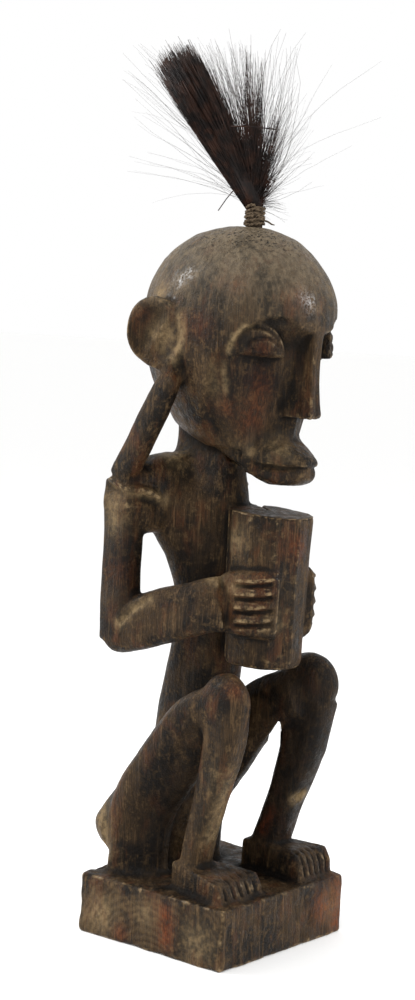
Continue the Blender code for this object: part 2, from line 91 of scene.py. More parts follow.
# Feet: side, and (y, inner x, outer x, top z) of the heel and of the toes.
FEET = [
    (RIGHT, (-3, 26, 46, 54), (-44, 12, 55.5, 50)),
    (LEFT, (-2, 25, 47, 55.5), (-46, 22.5, 56.5, 55)),
]
# Stations of each shin below the knee: z, y, half width and half depth.
RIGHT_SHIN = [
    (127, -30.8, 10.8, 12.5), (103, -25.5, 10.3, 10), (85, -21, 10.2, 8.9),
    (66, -16.2, 10.2, 8.2), (44, -13, 10.5, 8),
]
LEFT_SHIN = [
    (123, -38.5, 11.5, 14.5), (100, -31.5, 10.8, 12), (79, -25, 10.4, 11),
    (59, -18, 10.4, 10.8), (44, -12, 10.5, 10.8),
]

CUP_FACETS = 10
FACET_TURN = math.radians(9)
# Grooves between the fingers: degrees of turn from the front at both ends, the hand's lower edge and
# height, and the radius about the cup's axis with its growth towards the wrist.
HAND_TURNS = (42, 92)
HAND_BOTTOM, HAND_HEIGHT = 194, 40.5
HAND_RADIUS, HAND_SWELL = 29.3, 3.9
FINGER_STEPS = 8
# The notch in the cup's rim and the arch behind the left knee, placed across and into the picture.
NOTCH_ACROSS, NOTCH_DEEP, NOTCH_FLOOR = 16.8, 7.5, CUP_TOP - 2.7
ARCH_ACROSS, ARCH_TOP, ARCH_DEEP = 36.4, 138.6, -4
# Chips out of the left shin: path, width and depth.
SHIN_CHIPS = [
    ([(30.5, -38.3, 85.5), (32.6, -39.7, 88), (36, -40, 88.3)], 4.2, 2.6),
    ([(32.1, -40.6, 91.8), (35, -40.8, 92.5)], 2.6, 1.2),
]

RUB_ROUNDS = 70
# Heights and depths, in drawn units, at which an edge is fully worn and a crease or hollow fully darkened,
# with dirt and with painted shade.
WORN_EDGE, CREASE_DIRT_AND_SHADE, HOLLOW_DIRT_AND_SHADE = 0.5, 0.45, 2.2
# Places where limbs run into one another: x, y, z and radius.
RUBBED = [
    (35.5, -30, 154, 30), (33, -16, 214, 13), (24, 26, 299, 16),
    (36, 20, 100, 20), (44, 50, 60, 18), (13, -38, 314, 15),
    (34, -44, 50, 20), (30, -30, 318, 13), (54, 10, 350, 10),
    (33, 34, 40, 22), (8, -44, 384, 9), (34, 8, 44, 14),
]

# Patches of patina, of painted highlight and shade, and of gloss: radius, strength, and the points of the
# path that they follow.
PATCHES = {
    # Tan: worn and bare wood, and painted highlights along lit edges, rims, the arms' outer sides and the
    # buttocks.
    "tan": [
        (9, 0.6, (-56, 17, 372)),
        (3, 0.7, (-54, 10, 358), (-52, 4, 372), (-53, 6, 384)),
        (7, 0.7, (-48.3, 27.1, 396.4)),
        (1.7, 0.9, (-46.5, -25.8, 364.5), (-45.5, -27.8, 371.3), (-44.7, -29.2, 374.9),
         (-42.5, -33.9, 379.8), (-37, -36, 383.2)),
        (5, 0.25, (-45.5, -15, 356), (-44.4, -16.4, 338), (-41, -18, 320), (-31, -22, 306)),
        (2.2, 0.45, (-43.5, -21, 358), (-42, -21.5, 340)),
        (6, 0.6, (-46, 56, 76), (-47, 53, 61), (-44, 48, 48)),
        (7, 0.5, (-39, -34, 112), (-36, -31, 90), (-36, -27, 72)),
        (7, 0.45, (-59.8, 46, 272), (-59.8, 44.6, 256)), (8, 0.65, (-24.1, 29, 299)),
        (2.6, 0.6, (-57.5, 48, 281), (-57.6, 35.1, 276), (-45.2, 29.7, 275.5), (-35.5, 25.6, 271.7)),
        (2.8, 0.65, (-58.8, 38.5, 196.2), (-57.3, 34.3, 199.7), (-55.6, 28.1, 206), (-53.1, 18.6, 211.9)),
        (6, 0.5, (-35.8, -17.1, 228.6)), (9, 0.4, (-24.5, -21.9, 251.6)),
        (13, 0.55, (-62.2, 38, 14)), (9, 0.35, (-61.9, 2, 22)),
        (12, 0.45, (-61.4, -38.7, 12.5)), (9, 0.35, (-14, -44, 308)),
        (4, 0.4, (-24, -29, 306)), (4, 1, (31.5, -39, 87), (35.5, -40, 88.3)),
        (5, 0.4, (-33, -29, 224)), (7, 0.25, (-14, -48, 205)),
        (7, 0.6, (48.3, 27.1, 396.4)), (10, 0.6, (57, 20, 371)),
        (14, 0.25, (0, 60, 400)), (6, 0.5, (46, 56, 76), (44, 48, 48)),
        (14, 0.25, (0, 44, 150)), (12, 0.25, (50, -56, 20)),
    ],
    "red": [
        (9, 0.55, (-23.9, -29.9, 348.7), (-25, -28, 325)), (7, 0.55, (-38, -20, 332)),
        (6, 0.8, (-61.7, -13.3, 26), (-61.7, -14.3, 10)), (6, 0.6, (-61.8, 22, 6)),
        (11, 0.95, (42.6, -56.8, 20.3)), (8, 0.9, (57, -56.8, 28), (57, -56.8, 8)),
        (6, 0.5, (-29.4, -34, 100.9)), (6, 0.6, (-62, 28, 382)),
        (6, 0.35, (-43.7, -27.9, 404.2)), (8, 0.4, (-17.1, -54.8, 397.5)),
        (6, 0.4, (-41.7, -41.5, 164.8)), (3.5, 1, (25.5, -24, 77), (25.8, -18, 64)),
        (8, 0.35, (-58, 42, 226)), (8, 0.4, (-50, -8, 380)),
        (5, 0.5, (-34, -43, 369)), (8, 0.3, (-28, -50, 232)),
        (8, 0.45, (-4, -54, 250)), (12, 0.7, (60, 10, 20)),
        (13, 0.6, (20, 66, 20)), (10, 0.5, (-30, 61, 18)),
    ],
    "gloss": [
        (9, 0.75, (-50, 16, 402), (-47, 10, 413)), (6, 1, (-45, -4, 412)),
        (6, 1, (-37, -20, 414)), (8, 0.9, (-12.9, -55.2, 400.6), (-8, -58, 392)),
        (5, 0.7, (-46, 32, 281), (-36, 28, 277)), (5, 0.6, (-14, -52, 309)),
        (5, 0.5, (-27, -30, 310)), (10, 0.4, (-33, -36, 170)),
        (8, 0.4, (-14, -48, 230)),
    ],
    # Dark: painted shade where shadow falls, along the cheek borders, beside and under the nose, under the
    # thighs, on the far leg and foot, between and on the arms and under the chin.
    "dark": [
        (2.8, 0.75, (-40.5, -23.5, 354), (-38.5, -25, 336), (-34, -26.5, 321), (-27, -28.5, 309)),
        (11, 0.45, (-46, 4, 118), (-46, 20, 100)),
        (25, 0.85, (30, -48, 158), (29, -44, 120), (30, -30, 72)),
        (17, 0.8, (-34, 6, 100), (-33.6, 12, 80), (-30.8, 19.3, 60)),
        (14, 0.5, (-20.8, 7.3, 240), (-20, 6, 200)),
        (7, 0.5, (-9, -40, 366), (-9, -42, 345)), (12, 0.4, (-31.1, -45.1, 48)),
        (15, 0.6, (39.2, -54.8, 46)), (16, 0.4, (-18, 18, 160)),
        (9, 0.4, (-40, 24, 262)), (9, 0.35, (-29, -50, 205)),
        (6, 0.4, (0, -46, 318)), (26, 0.5, (20, 10, 200)),
        (9, 0.45, (-50, 18, 230), (-50, 22, 250)),
        (12, 0.6, (-58, 38, 250), (-58, 38, 212)),
        (10, 0.5, (-36, -10, 118), (-38, -6, 140)), (12, 0.4, (-14, -30, 262)),
    ],
}


TUFT_RIGHT, TUFT_DEEP = Vector((0.617, -0.787, 0)), Vector((0.787, 0.617, 0))
# The dense bundle: number of fibres, points on each, and its radii in metres at the foot and the end.
BUNDLE_FIBRES, FIBRE_PARTS = 3000, 6
FOOT_SPREAD, END_SPREAD = 0.0046, 0.0118
# Single long fibres: right, up and depth of the tip in tuft lengths, and radius.
LONG_FIBRES = [
    (0.64, 0.82, 0.05, 0.00012), (0.66, 0.53, 0.1, 0.00011), (0.37, 0.77, -0.1, 0.00012),
    (0.22, 0.95, 0, 0.00016), (0.075, 0.95, -0.05, 0.00022), (0.19, 0.88, 0.1, 0.00016),
    (-0.085, 0.93, 0.05, 0.0002), (0.51, 0.37, 0.1, 0.0001), (0.3, 0.14, -0.1, 0.00014),
    (0.37, 0.14, 0.05, 0.0001), (-0.57, 0, 0.2, 9e-05), (-0.36, 0.14, 0.2, 0.00011),
    (-0.2, 0.94, 0, 0.00018), (-0.3, 0.9, 0.1, 0.00016), (0.17, 0.3, 0, 0.00014),
]
# Thicker stiff fibres: the places of both ends, and radius.
STICKS = [
    (((-0.12, 0.08, -0.10), (-0.20, -0.04, -0.13)), 0.00034),
    (((-0.155, 0.412, -0.13), (0.09, 0.412, -0.08)), 0.00042),
]

FLOOR_REACH, FLOOR_Z = 40, -0.0004
CAMERA_PLACE = (-0.94216964, -0.73596513, 0.37665828)
CAMERA_TURN, CAMERA_RISE, CAMERA_ROLL = (math.radians(angle) for angle in (-51.2315, 4.9985, 3.0773))
CAMERA_LENS = 69.68


def place(x, y, z):
    """A point of the drawn figure, in metres on top of the base."""
    return Vector((x * UNIT, y * UNIT, BASE_HEIGHT + (z - GROUND) * UNIT))


def signed_power(value, power):
    return math.copysign(abs(value) ** (2 / power), value)


def oval(power, count=SIDES):
    """Unit superellipse as (across, along) pairs; a higher power is squarer."""
    turns = [2 * math.pi * (step + 0.5) / count for step in range(count)]
    return [(signed_power(math.cos(t), power), signed_power(math.sin(t), power)) for t in turns]


def between_rings(rings, parts):
    """Rings with extra ones on smooth curves (Catmull-Rom) between them, as one array."""
    known = np.array([[tuple(point) for point in ring] for ring in rings])
    padded = np.concatenate((known[:1], known, known[-1:]))
    found = []
    for index in range(len(known) - 1):
        before, low, high, after = padded[index:index + 4]
        for part in range(parts):
            t = part / parts
            found.append(0.5 * (2 * low + (high - before) * t
                                + (2 * before - 5 * low + 4 * high - after) * t ** 2
                                + (3 * low - before - 3 * high + after) * t ** 3))
    found.append(known[-1])
    return np.array(found)


def add_loft(bm, rings, parts=4):
    """Skin rings with equal numbers of points into one closed solid, smooth from ring to ring."""
    rows = [[bm.verts.new(point) for point in ring] for ring in between_rings(rings, parts)]
    faces = [bm.faces.new(rows[0]), bm.faces.new(rows[-1])]
    for low, high in zip(rows, rows[1:]):
        for step in range(len(low)):
            after = (step + 1) % len(low)
            faces.append(bm.faces.new((low[step], low[after], high[after], high[step])))
    bmesh.ops.recalc_face_normals(bm, faces=faces)


def add_column(bm, levels, x=0, power=2.6):
    """Stack level sections (z, half width, front y, back y, taper); taper narrows the front."""
    rings = []
    for z, half_width, front, back, taper in levels:
        middle, half_depth = (front + back) / 2, (back - front) / 2
        ring = []
        for across, along in oval(power):
            narrow = 1 - taper * (1 - along) / 2
            ring.append(place(x + across * half_width * narrow, middle + along * half_depth, z))
        rings.append(ring)
    add_loft(bm, rings)


def add_bar(bm, stations, power=2.6):
    """Sweep a section along stations (x, y, z, half width in x, half depth across the bar)."""
    centres = [Vector(station[:3]) for station in stations]
    rings = []
    for index, station in enumerate(stations):
        before = centres[max(index - 1, 0)]
        after = centres[min(index + 1, len(centres) - 1)]
        tangent = (after - before).normalized()
        depth = tangent.cross(Vector((1, 0, 0))).normalized()
        width = depth.cross(tangent).normalized()
        ring = []
        for across, along in oval(power):
            point = centres[index] + width * (across * station[3]) + depth * (along * station[4])
            ring.append(place(*point))
        rings.append(ring)
    add_loft(bm, rings)


def add_ellipsoid(bm, centre, first, second, third, rows=25):
    """Ellipsoid about a centre with three half axes given as vectors."""
    rings = []
    for row in range(rows):
        lift = math.radians(-87 + 174 * row / (rows - 1))
        ring = []
        for across, along in oval(2, 48):
            point = centre + third * math.sin(lift)
            point += (first * across + second * along) * math.cos(lift)
            ring.append(place(*point))
        rings.append(ring)
    add_loft(bm, rings, 1)


def mirrored(stations, side):
    """Stations drawn for the figure's right (-X), put on either side."""
    return [(-side * station[0],) + tuple(station[1:]) for station in stations]


def add_base(bm):
    """Four sided plinth with flat, hand cut sides."""
    corners = [
        (-BASE_FRONT_WIDTH / 2, BASE_FRONT_Y),
        (BASE_FRONT_WIDTH / 2 + 0.001, BASE_FRONT_Y),
        (BASE_BACK_WIDTH / 2 + 0.002, BASE_LEFT_BACK_Y),
        (-BASE_BACK_WIDTH / 2 + 0.002, BASE_RIGHT_BACK_Y),
    ]
    rings = []
    for z in (-0.0004, BASE_HEIGHT):
        rings.append([Vector((x, y, z)) for x, y in corners])
    add_loft(bm, rings, 1)


def add_skull(bm):
    """Level sections (z, half width, front y, back y) below the equator, and a dome above it."""
    front, back = HEAD_CENTRE_Y - HEAD_HALF_LENGTH, HEAD_CENTRE_Y + HEAD_HALF_LENGTH
    levels = [(306, 30, -62, 16), (316, 34.5, -66, 39), (328, 40.5, -68, 48)]
    levels += [(344, 47.5, -66, 57.5), (360, 52, -62.5, 61.5), (373, 53.5, front, back)]
    levels.append((HEAD_EQUATOR, HEAD_HALF_WIDTH, front, back))
    for step in range(1, 9):
        rise = math.radians(10.4 * step)
        up, out = signed_power(math.sin(rise), DOME_POWER), signed_power(math.cos(rise), DOME_POWER)
        middle = HEAD_CENTRE_Y + CROWN_SHIFT_Y * up
        half_length = HEAD_HALF_LENGTH * out
        z = HEAD_EQUATOR + (CROWN - HEAD_EQUATOR) * up
        levels.append((z, HEAD_HALF_WIDTH * out, middle - half_length, middle + half_length))
    rings = []
    for z, half_width, front, back in levels:
        middle, half_length = (front + back) / 2, (back - front) / 2
        rings.append([
            place(across * half_width, middle + along * half_length, z)
            for across, along in oval(2.05, 32)
        ])
    add_loft(bm, rings)


def add_torso(bm):
    add_column(bm, [
        (326, 13, 0, 43, 0.2),
        (303, 14, -4.5, 43.5, 0.25),
        (290, 28, -5.5, 47, 0.6),
        (275, 47, -8, 51, 0.75),
        (262, 50, -8, 52, 0.75),
        (252, 42, -8, 46, 0.70),
        (245, 37, -8, 42.5, 0.60),
        (237, 32, -8, 38.5, 0.50),
        (226, 27.5, -8, 35, 0.40),
        (216, 24, -7.5, 32.5, 0.30),
        (200, 21.5, -7, 31.5, 0.25),
        (183, 21.5, -6, 33.5, 0.20),
        (166, 22.5, -5, 36, 0.10),
        (144, 24.5, -3, 39.5, 0.10),
        (126, 26, 0, 41, 0.10),
        (116, 29, 2, 41, 0.20),
        (106, 38, 5, 45.5, 0.30),
        (96, 45.5, 8, 51, 0.40),
        (80, 52.5, 12, 61, 0.50),
        (67, 56, 16, 68, 0.50),
        (59, 55, 19, 67, 0.50),
        (51, 51, 22, 62, 0.50),
        (43, 46.5, 25, 58, 0.50),
        (30, 41, 27, 53, 0.50),
    ], power=3)


def add_shoulders(bm):
    """Yoke across the back, from one arm to the other."""
    stations = [(-60, 45, 9.5, 263, 277), (-56, 45, 11.5, 259, 285)]
    stations += [(-45, 42.5, 13, 250, 293.5), (-22, 34, 14, 252, 300.5)]
    stations += [(-x, *rest) for x, *rest in reversed(stations)]
    rings = []
    for x, y, half_depth, bottom, top in stations:
        middle, half_height = (bottom + top) / 2, (top - bottom) / 2
        rings.append([
            place(x, y + across * half_depth, middle + along * half_height)
            for across, along in oval(3)
        ])
    add_loft(bm, rings)


def add_arm(bm, side):
    add_bar(bm, mirrored([
        (-50, 45, 280, 9.8, 10.8),
        (-50, 45, 240, 9.8, 10.8),
        (-50, 45, 205, 9.8, 10.8),
        (-50, 45, 184, 9, 10),
    ], side), power=3.2)
    add_bar(bm, mirrored([
        (-50.5, 53.5, 188.5, 8.5, 11.5),
        (-50, 46, 191.5, 9.5, 16.5),
        (-45.5, 18, 200.5, 9.2, 17),
        (-38.5, -10, 210.5, 8.6, 16.4),
        (-32, -21, 213, 7.6, 17.5),
    ], side), power=3)


def add_arm_corners(bm, side):
    """Squarer outer edge of the upper arm, from the shoulder to the elbow."""
    stations = [(-50, 45.8, z, 9.6, 11) for z in (183, 215, 250, 283.5)]
    add_bar(bm, mirrored(stations, side), power=4)


def add_hand(bm, side):
    """Palm and fingers as a shell that wraps the cup from the wrist to the finger ends."""
    spans = [(118, 33, 197, 231.5), (98, 33.5, 195, 233.5), (75, 32, 194.5, 234)]
    spans += [(52, 30.5, 194, 234.5), (36, 29, 194, 234.5)]
    rings = []
    for turn, outer, bottom, top in spans:
        angle = math.radians(turn)
        direction = Vector((side * math.sin(angle), -math.cos(angle), 0))
        inner = 18
        centre = Vector((0, CUP_Y, (bottom + top) / 2)) + direction * (inner + outer) / 2
        rings.append([
            place(*(centre + direction * (across * (outer - inner) / 2)
                    + Vector((0, 0, along * (top - bottom) / 2))))
            for across, along in oval(4)
        ])
    add_loft(bm, rings)


def add_cup(bm):
    """Solid turned form with a flat top tilted a little towards the front."""
    rings = []
    for z, radius, tilt in ((CUP_BOTTOM, CUP_BOTTOM_RADIUS - 2.5, 0),
                            (CUP_BOTTOM + 1.2, CUP_BOTTOM_RADIUS - 0.8, 0),
                            (CUP_BOTTOM + 4, CUP_BOTTOM_RADIUS, 0),
                            (CUP_TOP, CUP_TOP_RADIUS, 0.07)):
        rings.append([
            place(across * radius, CUP_Y + along * radius, z + tilt * along * radius)
            for across, along in oval(2, 96)
        ])
    add_loft(bm, rings, 1)


THIGH_SECTION = [(-22, 11.5), (-34, 11.5), (-44, 9.5), (-48.8, 5), (-49, -2), (-46, -8.5),
                 (-40.5, -15.5), (-35, -22), (-29, -26), (-22.5, -26), (-18.5, -21), (-18, 0)]


def add_thigh(bm, side, stations):
    """Wedge that leans in below its outer ridge; stations of the ridge are (y, z, scale of the depth)."""
    centres = [Vector((0, y, z)) for y, z, _ in stations]
    rings = []
    for index, (y, z, scale) in enumerate(stations):
        tangent = (centres[min(index + 1, len(centres) - 1)] - centres[max(index - 1, 0)]).normalized()
        depth = tangent.cross(Vector((1, 0, 0)))
        rings.append([
            place(-side * x, *(centres[index] + depth * (reach * scale)).yz)
            for x, reach in THIGH_SECTION
        ])
    add_loft(bm, rings)


def add_leg(bm, side, knee, shin):
    """Thigh from the hip up to the knee, and shin down to the ankle."""
    forward, lift, swell = knee
    add_thigh(bm, side, [
        (42, 30, 0.9),
        (44, 60, 1),
        (40.5, 78, 1),
        (32.5, 95, 1),
        (17, 117.5, 1),
        (1.5, 138, 0.97),
        (-12 + forward / 2, 150 + lift / 2, 0.92),
        (-26 + forward, 155 + lift, 0.8),
    ])
    centre = Vector((side * 35.5, -30.5 + forward, 154.5 + lift))
    wide, deep, high = Vector((13, 0, 0)), Vector((0, 17.5 + swell, 0)), UP * 19
    add_ellipsoid(bm, centre, wide, deep, high)
    stations = [(-36, -32.5 + forward, 146 + lift, 11.5, 14 + swell)]
    stations += [(-36, y, z, half_width, half_depth) for z, y, half_width, half_depth in shin]
    add_bar(bm, mirrored(stations, side), power=3)


def add_foot(bm, side, heel, toe):
    """Wedge from heel to toes; each end is (y, inner x, outer x, top z)."""
    low = GROUND - 4
    rings = []
    for y, inner, outer, high in (heel, toe, (toe[0] - 5, toe[1], toe[2], toe[3] - 8)):
        corners = ((inner, low), (outer, low), (outer, high), (inner, high))
        rings.append([place(side * x, y, z) for x, z in corners])
    add_loft(bm, rings, 1)


EAR_CENTRE = Vector((-59, 21.8, 375.5))
EAR_BACK = Vector((-0.386, 0.923, 0))
EAR_OUT = Vector((-0.923, -0.386, 0))
EAR_LOBE = 0.30


def flip(point, side):
    return Vector((-side * point.x, point.y, point.z))


def add_ear(bm, side):
    """Round flaring disc that runs out into a lobe, and the bar from the lobe to the shoulder."""
    discs = [(-15, 11, 14, -6), (-5, 15.5, 18.5, -1), (-1, 17.3, 20.5, 0), (2, 16.3, 19.5, 0)]
    rings = []
    for out, half_length, half_height, shift in discs:
        ring = []
        for across, along in oval(2.1):
            longer = 1 + EAR_LOBE * max(0, -0.55 * across - 0.83 * along) ** 5
            point = EAR_CENTRE + EAR_OUT * out + EAR_BACK * (across * half_length * longer + shift)
            ring.append(place(*flip(point + UP * (along * half_height * longer), side)))
        rings.append(ring)
    add_loft(bm, rings)
    add_bar(bm, mirrored([
        (-54, 9.5, 352, 4.6, 5.2),
        (-54.5, 12.5, 343, 6.6, 7.4),
        (-54, 33, 306, 7, 8.4),
        (-53, 46, 284, 7.2, 9),
    ], side), power=2.8)


def add_lip(bm, stations, rise):
    """Sections across Y (y, half width, edge z, crest z); the crest lies above or below the edge."""
    rings = []
    for y, half_width, edge, crest in stations:
        middle, half_height = (edge + crest) / 2, (crest - edge) / 2
        ring = []
        for (across, along), (_, steep) in zip(oval(2.6), oval(rise)):
            outward = along * half_height > 0 if crest > edge else along * half_height < 0
            ring.append(place(across * half_width, y, middle + (steep if outward else along) * half_height))
        rings.append(ring)
    add_loft(bm, rings)


def add_jaw(bm):
    """Jaw, the slope of the muzzle, and a snout whose two lips meet in a notch."""
    add_column(bm, [
        (286.5, 12, -42, -32, 0),
        (289.5, 20, -44, -26, 0.2),
        (295, 26, -44, -18, 0.3),
        (301, 30, -43, -6, 0.4),
        (309, 32, -36, 12, 0.4),
        (318, 34, -27, 32, 0.4),
        (326, 30, -22, 34, 0.4),
    ], power=2.4)
    add_column(bm, [
        (300, 16, -46.5, -20, 0.3),
        (309, 13, -44.5, -20, 0.4),
        (318, 10, -41.8, -20, 0.4),
        (331, 8.5, -41.5, -20, 0.3),
    ], power=2.2)
    add_column(bm, [
        (301, 24.5, -44, -14, 0.3),
        (308, 21.5, -41.5, -14, 0.3),
        (314, 17.5, -38.5, -14, 0.3),
        (321, 13, -38, -14, 0.3),
        (332, 10, -38, -14, 0.3),
    ], power=2)
    add_lip(bm, [
        (-24, 26.5, 295, 319),
        (-36, 23, 295.5, 316),
        (-43, 19, 296.5, 313),
        (-48, 16, 296.5, 309.5),
        (-52.5, 12.5, 297, 306.5),
        (-56, 9, 297, 304.5),
        (-58.5, 5.5, 298, 303),
    ], 1.5)
    add_lip(bm, [
        (-24, 24, 300, 291),
        (-36, 21.5, 299.5, 287),
        (-43, 18, 299, 285.5),
        (-49, 14, 298.5, 286.5),
        (-53.5, 10, 298.5, 288.5),
        (-56.5, 6, 298, 290.5),
    ], 2.2)


def add_nose(bm):
    """Straight slab with a flat underside: (z, half width behind, half width in front, front y)."""
    levels = [
        (327.5, 12.5, 5.8, -58.2), (330, 12.3, 5.8, -58.8), (336, 9.8, 5.2, -58.6),
        (346, 7.6, 4.5, -58.2), (362, 7, 4.4, -58.2), (378, 6.8, 4.6, -58.6),
        (392, 9, 6.5, -57),
    ]
    middle, back = -37, -30
    rings = []
    for z, behind, near, front in levels:
        corners = [(-near, front), (near, front), (behind, middle)]
        corners += [(behind, back), (-behind, back), (-behind, middle)]
        rings.append([place(x, y, z) for x, y in corners])
    add_loft(bm, rings)


def on_skull(turn, z, inset):
    """Point on the skull's side, turned from the front (-Y) towards the figure's right."""
    half_width, half_length = HEAD_HALF_WIDTH - 0.5 - inset, HEAD_HALF_LENGTH - 1.5 - inset
    angle = math.radians(turn)
    return Vector((-half_width * math.sin(angle), HEAD_CENTRE_Y - half_length * math.cos(angle), z))


def add_eye(bm, side):
    """Half disc with a flat lower edge that stays near the skull's surface."""
    rings = []
    for inset, shrink in ((22, 1), (3.5, 1), (1.6, 0.97), (0.6, 0.86), (0, 0.6), (-0.2, 0.3)):
        ring = []
        for step in range(49):
            angle = math.pi * step / 48
            turn = EYE_TURN + EYE_RADIUS * shrink * math.cos(angle)
            z = EYE_LEVEL + (1 - shrink) * 5 + EYE_RADIUS * shrink * math.sin(angle)
            ring.append(place(*flip(on_skull(turn, z, inset), side)))
        rings.append(ring)
    add_loft(bm, rings, 1)


CHEEK_NOSE = Vector((-7, -39.5, 0))
CHEEK_OUT = Vector((-0.496, -0.868, 0))
CHEEK_ALONG = Vector((-0.868, 0.496, 0))
CHEEK_FOOT = 314
CHEEK_LEAN = 0.14
CHEEK_OUTLINE = [
    (-60, 298), (-60, 379), (-7, 380.5), (0, 385.5), (9, 388), (22, 387.5), (32, 384.5),
    (40.5, 379), (46.5, 371), (49.2, 360), (49.4, 349), (48.3, 333),
    (43.8, 320), (34.8, 307), (23.8, 298),
]


def outline_depth(across, along, outline):
    """How far each point lies inside a closed outline; it is negative outside."""
    corners = np.array(outline)
    distance = np.full(len(across), 1e9)
    inside = np.zeros(len(across), bool)
    for (x0, y0), (x1, y1) in zip(corners, np.roll(corners, -1, axis=0)):
        step = np.array((x1 - x0, y1 - y0))
        share = ((across - x0) * step[0] + (along - y0) * step[1]) / (step @ step)
        share = np.clip(share, 0, 1)
        distance = np.minimum(distance, np.hypot(across - x0 - share * step[0], along - y0 - share * step[1]))
        crosses = (y0 > along) != (y1 > along)
        inside ^= crosses & (across < x0 + (along - y0) * step[0] / (step[1] if step[1] else 1e-9))
    return np.where(inside, distance, -distance)


def rounded_outline(outline, parts=5):
    """Closed outline with its corners taken by a smooth curve."""
    ring = [[(x, y, 0)] for x, y in outline[-2:] + outline + outline[:3]]
    curve = between_rings(ring, parts)[:, 0, :2]
    return curve[2 * parts:-2 * parts - 1]


def smooth_step(values, low, high):
    share = np.clip((values - low) / (high - low), 0, 1)
    return share * share * (3 - 2 * share)


def carve_cheeks(points):
    """Cut each half of the face back under the brow, with a double step at its outer border."""
    outline = rounded_outline(CHEEK_OUTLINE)
    out_way, along_way = np.array(CHEEK_OUT), np.array(CHEEK_ALONG)
    level = points[:, 2]
    for side in (RIGHT, LEFT):
        half = points * (-side, 1, 1)
        offset = half - np.array(CHEEK_NOSE) * (1, 1, 0)
        along, out = offset @ along_way, offset @ out_way
        depth = outline_depth(along, level, outline)
        plane = CHEEK_LEAN * (level - CHEEK_FOOT)
        plane += 2.5 * smooth_step(level, 322, 345) * smooth_step(along, 4, 28)
        border = np.interp(depth, (0, 1.2, 2.6, 4.2), (0, 2.2, 2.6, 5.6))
        border *= 1 - 0.6 * smooth_step(level, 352, 366)
        skull = out - border
        share = np.clip(0.5 + (plane - skull) / 12, 0, 1)
        low = skull * share + plane * (1 - share) - 6 * share * (1 - share)
        brow = plane + np.interp(depth, (0, 0.8, 2, 3.4), (18, 6, 1.5, 0))
        brow += 3 * smooth_step(level, 374, 384)
        brow += 6 * smooth_step(level, 366, 386) * (1 - smooth_step(along, -2, 18))
        high = smooth_step(level, 362, 376)
        limit = low * (1 - high) + brow * high
        cut = (half[:, 0] <= 0.01) & (depth > 0) & (out > limit) & (points[:, 1] < 0)
        sideways = smooth_step(along[cut], 8, 28)[:, None]
        way = out_way * sideways + np.array((0, -1, 0)) * (1 - sideways)
        half[cut] += way * ((limit[cut] - out[cut]) / (way @ out_way))[:, None]
        points[cut] = half[cut] * (-side, 1, 1)


def carve_ears(points):
    """Hollow each ear into a shallow bowl with a narrow rim, deepest towards its back."""
    centre, out_way, back_way = (np.array(value) for value in (EAR_CENTRE, EAR_OUT, EAR_BACK))
    bowl_length, bowl_height = 17.6, 18.2
    for side in (RIGHT, LEFT):
        half = points * (-side, 1, 1)
        offset = half - centre
        out, back, high = offset @ out_way, offset @ back_way, offset[:, 2]
        radius = np.hypot((back + 2) / bowl_length, (high + 1.8) / bowl_height)
        floor = 3 - 5 * np.sqrt(np.clip(1 - radius ** 2, 0, 1)) ** 0.7
        ridge = np.abs(back + 0.55 * high + 4)
        floor += 1.6 * np.clip(1 - ridge / 4.5, 0, 1) * (1 - radius ** 2)
        cut = (radius < 1) & (out > floor) & (half[:, 0] < -30)
        half[cut] += np.outer(floor[cut] - out[cut], out_way)
        points[cut] = half[cut] * (-side, 1, 1)


def drawn_points(mesh):
    """A mesh's points in the drawn figure's units."""
    found = np.empty(len(mesh.vertices) * 3)
    mesh.vertices.foreach_get("co", found)
    found = found.reshape(-1, 3) / UNIT
    found[:, 2] += GROUND - BASE_HEIGHT / UNIT
    return found


def keep_points(mesh, points):
    back = points.copy()
    back[:, 2] -= GROUND - BASE_HEIGHT / UNIT
    mesh.vertices.foreach_set("co", (back * UNIT).ravel())
    mesh.update()


def point_normals(mesh):
    found = np.empty(len(mesh.vertices) * 3)
    mesh.vertex_normals.foreach_get("vector", found)
    return found.reshape(-1, 3)


def field_noise(points, size, seed):
    """Smooth noise from -1 to 1 on a lattice whose cells have the given size."""
    table = np.random.default_rng(seed).uniform(-1, 1, (NOISE_CELLS,) * 3)
    cells = points / np.array(size) + 500
    low = np.floor(cells).astype(int)
    share = cells - low
    share = share * share * (3 - 2 * share)
    total = np.zeros(len(points))
    for corner in range(8):
        step = np.array((corner & 1, corner >> 1 & 1, corner >> 2))
        weight = np.prod(np.where(step, share, 1 - share), axis=1)
        at = (low + step) % NOISE_CELLS
        total += weight * table[at[:, 0], at[:, 1], at[:, 2]]
    return total


def path_distance(points, path):
    """Distance to a path and the share of the way along it, for each point near it."""
    best = np.full(len(points), 1e9)
    place_along = np.zeros(len(points))
    for index, (start, end) in enumerate(zip(path, path[1:])):
        start, step = np.array(start, float), np.array(end, float) - np.array(start, float)
        share = np.clip((points - start) @ step / max(step @ step, 1e-9), 0, 1)
        distance = np.linalg.norm(points - start - share[:, None] * step, axis=1)
        nearer = distance < best
        best[nearer] = distance[nearer]
        place_along[nearer] = (index + share[nearer]) / (len(path) - 1)
    return best, place_along


def groove(points, normals, path, width, depth, taper=True):
    """Cut a groove along a path; a negative depth raises a bead."""
    low = np.min(path, axis=0) - width
    high = np.max(path, axis=0) + width
    near = np.flatnonzero(np.all((points > low) & (points < high), axis=1))
    if not len(near):
        return
    distance, along = path_distance(points[near], path)
    strength = np.clip(1 - (distance / width) ** 2, 0, 1) ** 1.5
    if taper:
        strength *= np.clip(np.sin(np.pi * along) * 3, 0, 1)
    points[near] -= normals[near] * (depth * strength)[:, None]


WRIST = [(-37, -17.5, 229), (-41, -18.5, 216), (-40, -19, 204), (-33, -22, 196)]


def shifted(path, y_shift, z_shift):
    return [(x, y + y_shift, z + z_shift) for x, y, z in path]


